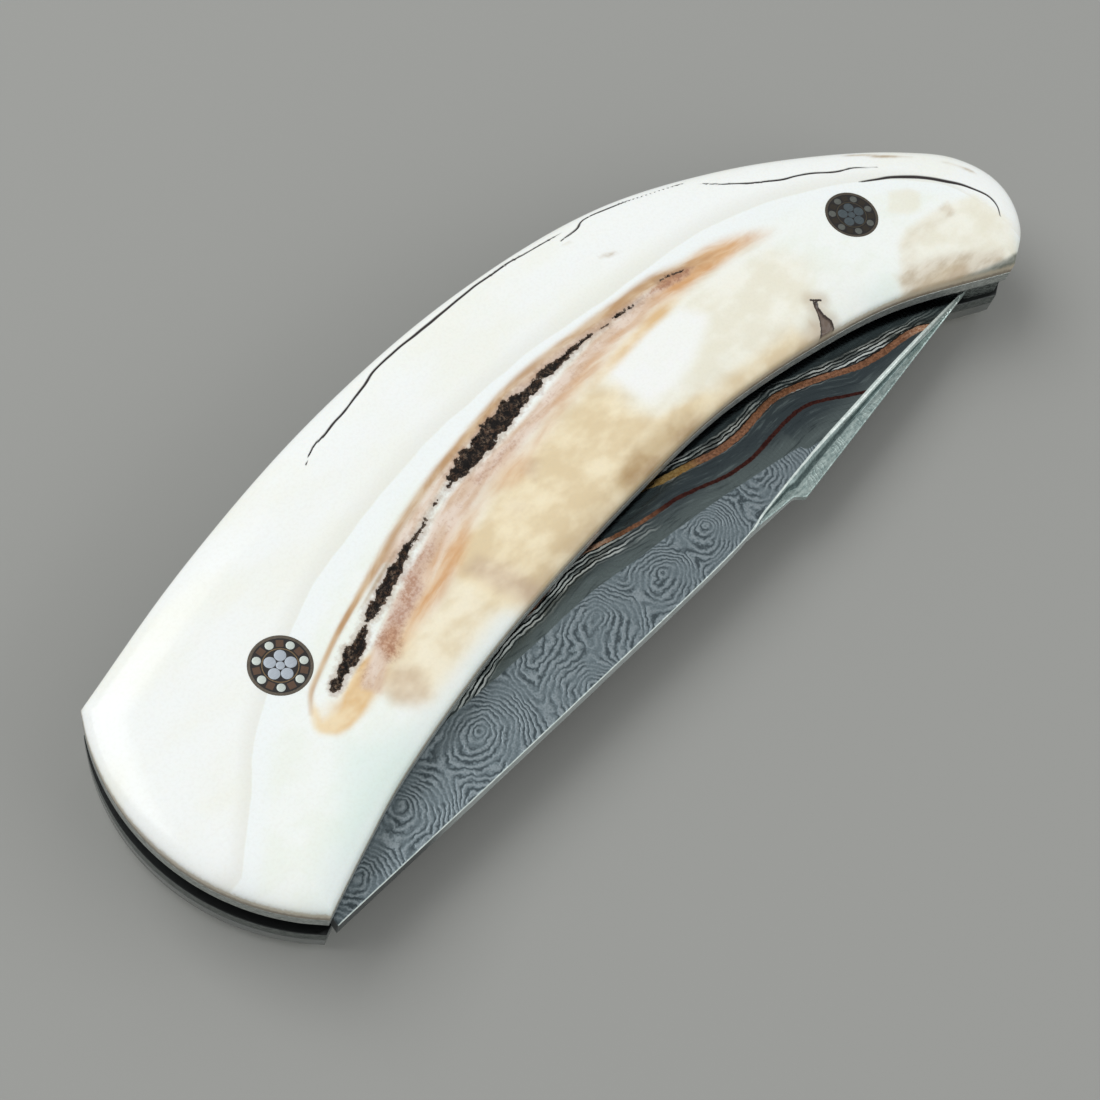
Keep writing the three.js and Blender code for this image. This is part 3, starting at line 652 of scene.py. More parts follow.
class Shader:
    """A material's node tree, with short calls for the nodes used here. Colours are 0 to 255."""

    def __init__(self, name, **values):
        self.material = bpy.data.materials.new(name)
        self.material.use_nodes = True
        self.tree = self.material.node_tree
        self.surface = self.tree.nodes["Principled BSDF"]
        for key, value in values.items():
            self.set(key.replace("_", " "), value)
        self.place = self.node("ShaderNodeTexCoord", "Object")

    def feed(self, socket, value):
        if isinstance(value, Value):
            self.tree.links.new(value.socket, socket)
        else:
            socket.default_value = srgb(*value) if socket.type == "RGBA" else value

    def node(self, kind, output, inputs=None, **settings):
        made = self.tree.nodes.new(kind)
        for key, value in settings.items():
            setattr(made, key, value)
        for key, value in (inputs or {}).items():
            self.feed(made.inputs[key], value)
        return Value(self, made.outputs[output])

    def set(self, socket, value):
        names = {s.name.lower(): s.name for s in self.surface.inputs}
        self.feed(self.surface.inputs[names[socket.lower()]], value)

    def value(self, name):
        return self.node("ShaderNodeAttribute", "Fac", attribute_name=name)

    def height(self):
        """Millimetres over the middle plane of the knife."""
        z = self.node("ShaderNodeSeparateXYZ", "Z", {0: self.place})
        return (z - PIVOT[2]) * 1000

    def math(self, operation, a, b=0.0, c=0.0):
        return self.node("ShaderNodeMath", 0, {0: a, 1: b, 2: c}, operation=operation)

    def sway(self, value, size, middle=0.0):
        """A value from 0 to 1, spread over the given size round the middle."""
        return self.math("MULTIPLY_ADD", value, size, middle - size / 2)

    def noise(self, per_mm, detail=2.0, rough=0.5, stretch=(1, 1, 1), distortion=0.0, flow=None):
        """Noise with the given number of cells a millimetre, in space or in flow coordinates."""
        scale = per_mm if flow else 1000 * per_mm
        inputs = {0: flow or self.place, 1: tuple(scale * s for s in stretch)}
        scaled = self.node("ShaderNodeVectorMath", 0, inputs, operation="MULTIPLY")
        inputs = {"Vector": scaled, "Scale": 1.0, "Detail": detail}
        inputs |= {"Roughness": rough, "Distortion": distortion}
        return self.node("ShaderNodeTexNoise", "Fac", inputs)

    def flow(self, x, y):
        """Coordinates made of two values, for noise that follows a line of the figure."""
        return self.node("ShaderNodeCombineXYZ", 0, {"X": x, "Y": y})

    def ramp(self, value, low, high):
        """Smooth step of a value from 0 at low to 1 at high."""
        inputs = {"Value": value, "From Min": low, "From Max": high}
        return self.node("ShaderNodeMapRange", "Result", inputs, interpolation_type="SMOOTHSTEP")

    def band(self, value, middle, half_width, blur):
        """1 within half_width of the middle, falling to 0 over the blur."""
        return self.ramp(abs(value - middle), half_width + blur, half_width)

    def mix(self, share, a, b):
        """Colour a where the share is 0 and b where it is 1."""
        return self.node("ShaderNodeMix", 2, {0: share, 6: a, 7: b}, data_type="RGBA")

    def bump(self, height, distance, strength=1.0):
        """Bump from a height in units of distance, which is in millimetres."""
        inputs = {"Height": height, "Distance": distance / 1000, "Strength": strength}
        self.set("Normal", self.node("ShaderNodeBump", "Normal", inputs))


# Scales


def soft_area(plan, outline, softness):
    """1 inside an outline and 0 outside it, blurred across its edge."""
    return step_up(depth_in(plan, outline), -softness, softness)


def soft_line(plan, line):
    """A line of colour that fades out to both sides."""
    gap, (width, strength) = distance_and_values(plan, line)
    return np.clip(strength, 0, None) * np.exp(-((gap / np.maximum(width, 0.05)) ** 2))


def crack_values(plan):
    """Bark and notch as millimetres inside their edge, negative outside, and hair cracks from 0 to 1."""
    lumps = layered_noise(plan, 1.1, 3, 3) - 0.5
    bark = np.full(len(plan), -2.0)
    for line in BARK:
        gap, (width,) = distance_and_values(plan, line)
        bark = np.maximum(bark, width - gap + 1.5 * lumps * np.minimum(width, 1.0) ** 0.5)
    for line in TRAILS:
        gap, _ = distance_to(plan, smooth(line))
        bark = np.maximum(bark, 0.9 * (layered_noise(plan, 0.8, 3, 11) - 0.5) - gap)
    gap, _ = distance_to(plan, NOTCH_TOP)
    notch = np.maximum(depth_in(plan, NOTCH) + 0.25 * lumps, 0.12 - gap)
    hair = np.zeros(len(plan))
    wander = plan + 0.35 * np.column_stack([value_noise(plan, 2.2, seed) - 0.5 for seed in (8, 9)])
    for line in HAIRS:
        gap, (width,) = distance_and_values(wander, line)
        hair = np.maximum(hair, step_up(-gap, -np.maximum(width, 0.02) - 0.06, 0))
    return {"bark": bark, "notch": np.maximum(notch, -2.0), "hair": hair}


def figure(plan):
    """All values that the ivory's material draws its figure from."""
    values = crack_values(plan)
    for key, areas in AREAS.items():
        values[key] = sum(strength * soft_area(plan, outline, soft) for outline, soft, strength in areas)
    values["tan_line"] = soft_line(plan, TAN_LINE)
    values["orange"] = soft_line(plan, ORANGE_LINE)
    values["gold"] += sum(soft_line(plan, line) for line in GOLD_LINES)
    values["faint"] = sum(soft_line(plan, line) for line in FAINT_LINES)
    values["to_reflection_line"] = plan[:, 1] - height_at(REFLECTION_LINE, plan[:, 0])
    values["flow_x"] = plan[:, 0]
    values["flow_y"] = plan[:, 1] - height_at(TAN_LINE, plan[:, 0])
    return values


def quiet_figure(plan):
    """The same for the bottom scale, with weaker colours and no cracks."""
    values = figure(plan)
    for key in ("bark", "notch"):
        values[key] = np.full(len(plan), -3.0)
    values["hair"] *= 0
    for key in (*AREAS, "orange", "tan_line"):
        values[key] *= QUIET_SHARE
    return values


def dome(rim, cracked):
    """Height of the outer face of a scale over the middle plane, with its cracks cut in."""

    def height(plan):
        gap = edge_gap(plan, rim)
        share = np.clip(gap / DOME_RUN, 0, 1)
        rise = CROWN - SCALE_LOW - SCALE_SIDE
        z = SCALE_LOW + SCALE_SIDE + rise * np.sqrt(1 - (1 - share) ** 2)
        if cracked:
            marks = crack_values(plan)
            grain = 0.3 + 1.2 * layered_noise(plan, 0.8, 3, 21)
            cut = np.maximum(step_up(marks["bark"], -0.05, 0.3), step_up(marks["notch"], -0.05, 0.3))
            inner = step_up(gap, 0.0, 0.5)
            z -= inner * (BARK_DEPTH * cut * grain + HAIR_DEPTH * marks["hair"])
        return z

    return height


def scale_points(rim, cracked):
    """Points of a scale's mesh: rings along its rim, a grid, and finer points at the cracks."""
    points = [offset_loop(rim, ring) for ring in DOME_RINGS]
    crown = grid_points(rim.min(0), rim.max(0), GRID)
    crown = crown[edge_gap(crown, rim) > DOME_RUN + 0.3 * GRID]
    if cracked:
        for line in (*BARK, *TRAILS, NOTCH, NOTCH_TOP):
            path = np.array(line)
            widest = path[:, 2].max() if path.shape[1] > 2 else CRACK_GRID
            reach = widest + 0.5
            patch = grid_points(path[:, :2].min(0) - reach, path[:, :2].max(0) + reach, CRACK_GRID)
            points.append(patch[distance_to(patch, path)[0] < reach])
            crown = crown[distance_to(crown, path)[0] > reach + CRACK_GRID]
        for line in (*HAIRS, TAN_LINE):
            path = smooth(line, 14)[:, :2]
            points += [path + normals_of(path) * shift for shift in HAIR_ROWS]
    return np.vstack([*points, crown])


def plain_ivory(s, broad, clouds):
    """Colour of the ivory on both sides of a painted reflection line across the crown: pale on its front
    side, and greyer on its back side as painted shade.
    """
    back = s.mix(s.ramp(broad, 0.4, 0.65), (251, 255, 253), (249, 252, 244))
    front = s.mix(s.ramp(clouds, 0.38, 0.64), (250, 255, 251), (246, 252, 244))
    from_reflection_line = s.value("to_reflection_line") + s.sway(broad, 1.6)
    colour = s.mix(s.ramp(from_reflection_line, -0.2, 0.3), front, back)
    # Painted highlight: a lighter band along the front side of the line
    before = s.ramp(from_reflection_line, 0.1, -0.15) * s.ramp(from_reflection_line, -3.4, -1.0)
    colour = s.mix(before * 0.85, colour, (249, 255, 255))
    # Painted shade: a greyer band along the back side of the line
    shade_past_line = s.ramp(from_reflection_line, -0.1, 0.15) * s.ramp(from_reflection_line, 2.6, 0.1)
    return s.mix(shade_past_line * 0.5, colour, (232, 233, 224))


def crack_colours(s, colour, fine):
    """The colour with bark, notch and hair cracks over it, and the bark's share and grains."""
    edge = s.sway(s.noise(3.4, 3, 0.6), 0.7)
    broken = s.value("bark") + edge
    bark = s.ramp(broken, -0.03, 0.06)
    colour = s.mix(s.ramp(broken, -0.7, 0.0) * 0.5, colour, (160, 122, 94))
    grains = s.ramp(s.noise(3.4, 4, 0.75), 0.42, 0.6)
    grain_colour = s.mix(s.ramp(fine, 0.4, 0.6), (140, 122, 104), (100, 74, 56))
    shallow = s.math("MAXIMUM", s.ramp(broken, 0.4, 0.0), s.ramp(s.noise(1.2, 4, 0.7), 0.42, 0.56))
    colour = s.mix(bark, colour, s.mix(grains * shallow * 0.9, (16, 10, 8), grain_colour))
    notch = s.value("notch") + edge * 0.3
    colour = s.mix(s.ramp(notch, -1.6, 0.0) * 0.5, colour, (190, 170, 142))
    notch_colour = s.mix(s.ramp(notch, 0.08, 0.3), (58, 48, 44), (116, 102, 92))
    colour = s.mix(s.ramp(notch, -0.04, 0.04), colour, notch_colour)
    colour = s.mix(s.ramp(s.value("hair"), 0.1, 0.7), colour, (50, 44, 44))
    return colour, bark, grains


def side_shade_and_stain(s, colour, texture):
    """Paints shade, with some staining, on the narrow sides of the scales where they meet the liners, most
    on the lower one, whose side is painted dark grey as shade.
    """
    height = s.height()
    ragged = s.sway(texture, 0.8)
    raised = height + ragged
    upper = s.math("GREATER_THAN", height, 0.0)
    # Painted shade with some real staining: a warm band and a dark line low on the top scale's side
    warm = s.ramp(raised, SCALE_LOW + 1.75, SCALE_LOW + 1.05) * upper
    dark = s.ramp(raised, SCALE_LOW + 0.9, SCALE_LOW + 0.3) * upper
    side = -SCALE_LOW - SCALE_SIDE
    # Painted shade: the lower scale's side goes dark grey
    lower_side_shade = s.ramp(height - ragged, side - 0.8, side) * s.math("LESS_THAN", height, 0.0)
    colour = s.mix(warm * 0.8, colour, (198, 186, 162))
    colour = s.mix(dark * 0.75, colour, (116, 106, 92))
    return s.mix(lower_side_shade * 0.9, colour, (88, 92, 91))


def ivory():
    """Polished ivory with streaks of cream, orange and mauve beside its bark-filled cracks."""
    s = Shader("polished_ivory", subsurface_weight=0.06, subsurface_scale=0.0015)
    s.set("Subsurface Radius", (1.0, 0.8, 0.6))
    s.set("Specular IOR Level", 0.35)
    flow = s.flow(s.value("flow_x"), s.value("flow_y"))
    textures = {
        "broad": s.noise(0.12, 3, 0.55, (0.5, 1, 1)),
        "clouds": s.noise(0.3, 3, 0.5, (0.8, 1.2, 1)),
        "streaks": s.noise(0.7, 3, 0.55, (0.3, 1.2, 1), 0.3, flow),
        "fine": s.noise(2.4, 4, 0.65),
        "rows": s.noise(0.5, 4, 0.6, (0.6, 1.8, 1)),
    }
    clouds, fine = textures["clouds"], textures["fine"]
    colour = plain_ivory(s, textures["broad"], clouds)
    for key, light, dark, low, high, name, sway in PAINTS:
        amount = s.value(key) * s.sway(textures[name], sway, 1.02)
        paint = s.mix(s.ramp(textures[name], 0.35, 0.65), light, dark)
        colour = s.mix(s.ramp(amount, low, high), colour, paint)
    mottle = s.ramp(fine, 0.5, 0.7) * s.value("peach")
    colour = s.mix(mottle * 0.35, colour, (190, 150, 124))
    speckle = s.ramp(s.noise(3.2, 3, 0.6), 0.42, 0.68)
    colour = s.mix(speckle * 0.07, colour, (200, 196, 180))
    colour, bark, grains = crack_colours(s, colour, fine)
    s.set("Base Color", side_shade_and_stain(s, colour, fine))
    s.set("Roughness", bark * 0.6 + s.sway(clouds, 0.1, 0.18))
    s.bump(grains * bark + clouds * 0.2, 0.07)
    return s.material


def add_scales(rim, holes):
    material = ivory()
    top = dome(rim, True)
    points = scale_points(rim, True)
    mesh = sheet_solid("top_scale_fine", rim, holes, points, top, level(SCALE_LOW), figure)
    add_piece("top_scale_fine", mesh, "handle", material, ["top_scale"])
    outer = dome(rim, False)

    def bottom(plan):
        return -outer(plan)

    points = scale_points(rim, False)
    mesh = sheet_solid("bottom_scale_fine", rim, holes, points, level(-SCALE_LOW), bottom, quiet_figure)
    add_piece("bottom_scale_fine", mesh, "handle", material, ["bottom_scale"])


# Liners, spacer and washers


def steel(name, light, dark, roughness, cells, grain=0.4, bump=0.01, inner=None, metallic=1.0):
    """Ground steel with a fine etched mottle, and the inner faces of the liners painted dark as shade in the
    channel between them.
    """
    s = Shader(name, metallic=metallic)
    mottle = s.noise(cells, 6, 0.7, (0.7, 0.7, 1.6), 0.8)
    colour = s.mix(s.ramp(mottle, 0.5 - grain, 0.5 + grain), dark, light)
    if inner:
        # Painted shade: the liners' inner faces go dark
        colour = s.mix(s.ramp(abs(s.height()), LINER_LOW + 0.12, LINER_LOW + 0.04), colour, inner)
    s.set("Base Color", colour)
    s.set("Roughness", s.sway(mottle, 0.2, roughness))
    s.bump(mottle, bump)
    return s.material


def bevelled(outline, low, high):
    """Upper and lower height functions of a plate with a small bevel on its outer edge."""

    def drop(plan):
        return np.clip(LINER_BEVEL - edge_gap(plan, outline), 0, LINER_BEVEL)

    return (lambda plan: high - drop(plan)), (lambda plan: low + drop(plan))


def add_liners(rim, holes):
    # Painted shade for the liners' inner faces, in the channel between them
    inner = (52, 54, 54)
    polished = steel("liner_steel", (198, 203, 198), (128, 134, 130), 0.38, 2.8, 0.2, 0.02, inner, 0.6)
    # Painted shade: the bottom liner gets a darker copy of the liner steel
    shaded_steel = steel("liner_steel_shaded", (150, 156, 153), (84, 90, 88), 0.45, 2.8, 0.2, 0.02, inner)
    ring = offset_loop(rim, LINER_BEVEL)
    for name, low, high, material in (
        ("top_liner", LINER_LOW, LINER_HIGH, polished),
        ("bottom_liner", -LINER_HIGH, -LINER_LOW, shaded_steel),
    ):
        mesh = sheet_solid(name + "_fine", rim, holes, ring, *bevelled(rim, low, high))
        add_piece(name + "_fine", mesh, "handle", material, [name])


def add_spacer():
    loop = rounded_loop(cad_loop("back_spacer"), 5, 32)
    hole = circle(PIN_SPACING, 0, PIN_RADIUS + PIN_CLEARANCE)
    material = steel("spacer_steel", (150, 158, 154), (44, 50, 50), 0.5, 3.6, 0.16, 0.03)
    mesh = sheet_solid("back_spacer_fine", loop, [hole], NO_POINTS, level(SPACER_HALF))
    add_piece("back_spacer_fine", mesh, "handle", material, ["back_spacer"])


def finish_hidden_nodes():
    """Materials of the CAD nodes that stay: washers and the pins under the scales."""
    s = Shader("washer_bronze", metallic=1.0)
    wear = s.noise(1.5, 5, 0.6)
    s.set("Base Color", s.mix(wear, (150, 112, 60), (196, 158, 98)))
    s.set("Roughness", s.sway(wear, 0.25, 0.375))
    s.bump(wear, 0.005)
    ground = steel("pin_steel", (190, 192, 194), (120, 122, 124), 0.3, 1.5)
    chosen = dict.fromkeys(("top_washer", "bottom_washer"), s.material)
    chosen |= dict.fromkeys(("stop_pin", "liner_pin_1", "liner_pin_2"), ground)
    for name, material in chosen.items():
        for place in frame["nodes"][name].material_slots:
            place.material = material


# Blade


def swedge_rise(x):
    """How far the outermost line stands out from the edge of the upper face at X."""
    held = height_at(SPINE_LINE, np.minimum(x, HOLLOW_START))
    corner = height_at(SPINE_LINE, STEP_END) - SWEDGE_WIDTH
    share = np.clip((x - STEP_END) / (TIP - STEP_END), 0, 1)
    crest = corner + (SPINE_LINE[-1][1] - corner) * share
    raised = step_up(x, STEP_START, STEP_END)
    return np.maximum(height_at(SPINE_LINE, x) - held - (crest - held) * raised, 0)


def swedge_share(plan):
    """0 at the edge of the upper face, 1 at the crest of the swedge and negative on the face."""
    x, y = plan.T
    width = np.maximum(swedge_rise(x), 0.08)
    return np.clip((height_at(SPINE_LINE, x) - y) / width, -1, 1)


def blade_half(outline):
    """Half of the blade's thickness, as a function of plan points."""

    def height(plan):
        x, y = plan.T
        edge = height_at(EDGE_LINE, x)
        grind = np.maximum(height_at(GRIND_LINE, x), height_at(SPINE_LINE, x) + 0.02)
        ground = EDGE_HALF + (BLADE_HALF - EDGE_HALF) * np.clip((edge - y) / (edge - grind), 0, 1)
        half = BLADE_HALF + (ground - BLADE_HALF) * step_up(x, PLUNGE_START, PLUNGE_END)
        share = swedge_share(plan)
        hollow = step_up(share, 0.0, GROOVE_SHARE) * step_up(x, HOLLOW_START, STEP_END)
        facet = SWEDGE_FLAT - GROOVE_DEPTH * np.sin(math.pi * np.clip(share / 0.8, 0, 1))
        half = half - (half - np.minimum(facet, half)) * hollow
        near_edge = 1 - np.clip(edge_gap(plan, outline) / EDGE_BREAK, 0, 1)
        broken = np.minimum(EDGE_BREAK, 0.4 * half) * near_edge
        return half - broken * (y < grind)

    return height


def blade_outline():
    spine = smooth(SPINE_LINE, 40)
    spine = spine[spine[:, 0] < TIP - 0.05]
    crest = spine - np.column_stack([np.zeros(len(spine)), swedge_rise(spine[:, 0])])
    edge = smooth(EDGE_LINE, 24)[::-1]
    edge = edge[edge[:, 0] > KICK_END + 0.5]
    heel = np.array(SPINE_LINE[0])
    reach = np.hypot(*heel)
    tangent = math.atan2(heel[1], heel[0]) - math.acos(BOSS_RADIUS / reach) + 2 * math.pi
    top = math.asin(KICK_TOP / BOSS_RADIUS)
    angles = np.linspace(top, tangent, 72)
    boss = np.column_stack([np.cos(angles), np.sin(angles)]) * BOSS_RADIUS
    kick = [
        (KICK_END, EDGE_LINE[0][1]),
        (KICK_END, KICK_TOP - KICK_CHAMFER),
        (KICK_END - KICK_CHAMFER, KICK_TOP),
    ]
    tip = [(TIP - 0.05, SPINE_LINE[-1][1])]
    return np.vstack([crest, tip, edge[1:], kick, boss])


def blade_values(plan):
    """Distances that the blade's material draws its lines from."""
    x, y = plan.T
    rings = np.zeros(len(plan))
    for eye_x, eye_y, length in EYES:
        away = np.hypot((x - eye_x) / EYE_STRETCH, y - eye_y)
        rings += np.exp(-EYE_FALL * (away - 0.4 * length))
    rings = -np.log(rings) / EYE_FALL
    return {
        "rings": EYE_PULL * rings + (1 - EYE_PULL) * (x + 0.6 * y),
        "to_grind": y - height_at(GRIND_LINE, x),
        "to_spine": height_at(SPINE_LINE, x) - y,
        "swedge": swedge_share(plan),
        "to_copper_1": y - height_at(COPPER_1, x),
        "to_copper_2": y - height_at(COPPER_2, x),
        "to_white": y - height_at(WHITE, x),
        "white": height_at(WHITE, x, 2),
        "along": x,
    }


def etched_flat(s):
    """Colour and relief of the etched flat: lines that run round the eyes at an even pitch."""
    rings = s.value("rings") + s.sway(s.noise(0.12), 3.0)
    rings = rings + s.sway(s.noise(0.5), 1.0) + s.sway(s.noise(2.2, 3, 0.6), 0.42)
    clear = s.sway(s.ramp(s.noise(0.45), 0.35, 0.6), 0.55, 0.675)
    wave = s.math("SINE", rings * (2 * math.pi / RING_PITCH)) * clear
    light = s.ramp(wave, -0.1, 0.9)
    dark = s.ramp(wave, -0.2, -0.95)
    colour = s.mix(light, (130, 144, 150), (170, 183, 189))
    colour = s.mix(dark, colour, (78, 89, 94))
    speck = s.noise(5, 3, 0.7)
    colour = s.mix(s.ramp(speck, 0.42, 0.7) * 0.5, colour, (96, 107, 112))
    colour = s.mix(s.ramp(speck, 0.46, 0.25) * 0.5, colour, (164, 176, 182))
    return colour, light


def white_layers(s, colour):
    """The colour with stripes of black and white layers over it, and where the white shows."""
    to_white = s.value("to_white") + s.sway(s.noise(0.5, 3), 0.9)
    stripes = s.math("SINE", to_white * (2 * math.pi / WHITE_PITCH))
    band = s.band(to_white, 0.0, 0.6, 0.6) * s.value("white")
    patchy = s.noise(1.0, 3, 0.6, (0.3, 2.4, 1), flow=s.flow(s.value("along"), to_white))
    patchy = s.sway(s.ramp(patchy, 0.4, 0.58), 0.85, 0.575)
    white = s.ramp(stripes, -0.35, 0.35) * band * patchy
    black = s.ramp(stripes, 0.1, -0.6) * band
    return s.mix(white, s.mix(black, colour, (30, 36, 38)), (236, 244, 241)), white


def polished_bevel(s):
    """Colour of the polished bevel with its copper and white layers, darkened as painted reflection away
    from the grind line, and where the white shows.
    """
    along = s.value("along")
    ripple = s.noise(1.0, 4, 0.65, (0.25, 2.6, 1), 0.3, s.flow(along, s.value("to_copper_2")))
    # Painted reflection: the bevel is lighter at the grind line and darker towards the handle's edge
    colour = s.mix(s.ramp(s.value("to_grind"), 0.5, 3.2), (110, 122, 122), (73, 83, 87))
    colour = s.mix(s.ramp(ripple, 0.47, 0.3) * 0.6, colour, (52, 61, 65))
    colour = s.mix(s.ramp(ripple, 0.54, 0.7) * 0.5, colour, (130, 144, 144))
    colour, white = white_layers(s, colour)
    ragged = s.sway(s.noise(1.8, 3, 0.6), 0.3)
    grit = s.ramp(s.noise(3, 3, 0.7), 0.35, 0.65)
    pink = s.mix(grit, (206, 148, 116), (240, 204, 178))
    brown = s.mix(grit, (128, 90, 68), (176, 126, 96))
    brass = s.mix(grit, (176, 140, 84), (204, 170, 112))
    red = s.mix(grit, (60, 32, 30), (84, 48, 42))
    gap = s.value("to_copper_1") + ragged
    colour = s.mix(s.band(gap, 0.44, 0.06, 0.12), colour, (36, 32, 30))
    first = s.mix(s.ramp(along, 50, 47), brown, brass)
    first = s.mix(s.ramp(along, 78, 81), first, pink)
    colour = s.mix(s.band(gap, 0.0, 0.34, 0.1), colour, first)
    gap = s.value("to_copper_2") + ragged
    second = s.mix(s.ramp(along, 43, 39), red, brown)
    second = s.mix(s.ramp(along, 36.2, 35), second, pink)
    return s.mix(s.band(gap, 0.0, 0.18, 0.1), colour, second), white


def swedge_colour(s, plain):
    """The light line along the edge of the upper face, a polished edge with a painted highlight, the dark
    hollow, and the light facet beyond it.
    """
    share = s.value("swedge")
    along = s.value("along")
    texture = s.noise(2.6, 4, 0.7, (0.5, 1.2, 1))
    facet = s.mix(s.ramp(texture, 0.32, 0.68), (142, 162, 160), (196, 212, 208))
    hollow = s.mix(s.ramp(texture, 0.35, 0.65), (66, 79, 79), (90, 104, 103))
    rim = s.mix(s.ramp(texture, 0.35, 0.65), (126, 142, 141), (160, 176, 174))
    # Painted highlight over a polished edge: the light colour of the line along the spine
    edge = s.mix(s.ramp(texture, 0.4, 0.6), (204, 218, 214), (232, 242, 238))
    colour = s.mix(s.ramp(share, 0.24, 0.16), s.mix(s.ramp(share, 0.38, 0.48), hollow, facet), rim)
    here = s.ramp(share, 0.0, 0.03) * s.ramp(along, 47.5, 50)
    colour = s.mix(here, plain, colour)
    # Mask of the painted highlight along the spine's edge, wider towards the tip
    wide = s.sway(s.ramp(along, 56, 69), 0.14, 0.14)
    polish_and_highlight = s.ramp(abs(s.value("to_spine") - 0.02) - wide, 0.07, 0.0)
    return s.mix(polish_and_highlight, colour, edge), polish_and_highlight


def layered_steel():
    s = Shader("layered_steel")
    flat, relief = etched_flat(s)
    bevel = s.ramp(s.value("to_grind") + s.sway(s.noise(1.6, 3, 0.6), 0.14), -0.05, 0.1)
    layers, white = polished_bevel(s)
    colour, polish_and_highlight = swedge_colour(s, s.mix(bevel, flat, layers))
    normal = s.node("ShaderNodeNewGeometry", "Normal")
    upright = s.node("ShaderNodeSeparateXYZ", "Z", {0: normal})
    side = s.ramp(abs(upright), 0.5, 0.2)
    scratches = s.ramp(s.noise(1.2, 4, 0.6, (0.3, 1, 3)), 0.4, 0.6)
    along = s.value("along")
    satin = s.mix(scratches, (166, 175, 173), (190, 198, 196))
    # Painted shade: the spine's side darkens towards the heel
    satin = s.mix(s.ramp(along, 5, -1), satin, (84, 88, 88))
    satin = s.mix(s.ramp(along, STEP_START, STEP_END), satin, (150, 164, 160))
    s.set("Base Color", s.mix(side, colour, satin))
    shine = s.math("MAXIMUM", s.math("MAXIMUM", side, polish_and_highlight), white * bevel)
    s.set("Metallic", shine * -0.7 + 1.0)
    s.set("Roughness", relief * -0.12 + bevel * -0.2 + 0.5)
    s.bump(relief - relief * bevel, 0.02, 0.6)
    return s.material


def add_blade():
    outline = blade_outline()
    grid = grid_points(outline.min(0), outline.max(0), BLADE_GRID)
    face = height_at(SPINE_LINE, grid[:, 0]) + 0.4 < grid[:, 1]
    points = [grid[face | (grid[:, 0] < HOLLOW_START)], offset_loop(outline, EDGE_BREAK)]
    x = np.arange(HEEL, TIP, BLADE_STEP)
    spine = height_at(SPINE_LINE, x)
    points += [np.column_stack([x, spine + shift]) for shift in (0.0, 0.12, 0.3)]
    for share in np.linspace(0.08, 0.92, 8):
        row = np.column_stack([x, spine - share * swedge_rise(x)])
        points.append(row[x > HOLLOW_START])
    for shift in (-0.08, 0.0, 0.08):
        row = np.column_stack([x, height_at(GRIND_LINE, x) + shift])
        points.append(row[(x > PLUNGE_START) & (x < GRIND_END)])
    bore = circle(0, 0, BLADE_BORE)
    points = np.vstack(points)
    half = blade_half(outline)
    mesh = sheet_solid("blade_fine", outline, [bore], points, half, fields=blade_values)
    add_piece("blade_fine", mesh, "blade", layered_steel(), ["blade"], 24)


# Mosaic pins


def pin_metal(name, light, dark, roughness, metallic=1.0):
    s = Shader(name, metallic=metallic)
    scratch = s.noise(6.0, 4, 0.65, (0.25, 1.5, 1))
    s.set("Base Color", s.mix(scratch, dark, light))
    s.set("Roughness", s.sway(scratch, 0.2, roughness + 0.1))
    s.bump(scratch, 0.004)
    return s.material


def stub(outline, holes=(), dome_height=0.0):
    """A bar of the pin through the whole knife, with slightly domed ends."""
    middle = outline.mean(0)
    rings = np.vstack([middle + (outline - middle) * share for share in (0.88, 0.5)])
    reach = np.hypot(*(outline - middle).T).max()

    def end(plan):
        away = np.hypot(*(plan - middle).T) / reach
        return PIN_HEAD - dome_height * np.clip((away - 0.8) / 0.2, 0, 1)

    return sheet_solid("stub", outline, holes, rings if dome_height else NO_POINTS, end)


def joined(name, meshes):
    """Several meshes as one."""
    verts, faces = [], []
    for mesh in meshes:
        start = len(verts)
        verts += [tuple(v.co) for v in mesh.vertices]
        faces += [[start + i for i in p.vertices] for p in mesh.polygons]
        bpy.data.meshes.remove(mesh)
    whole = bpy.data.meshes.new(name)
    whole.from_pydata(verts, [], faces)
    return whole


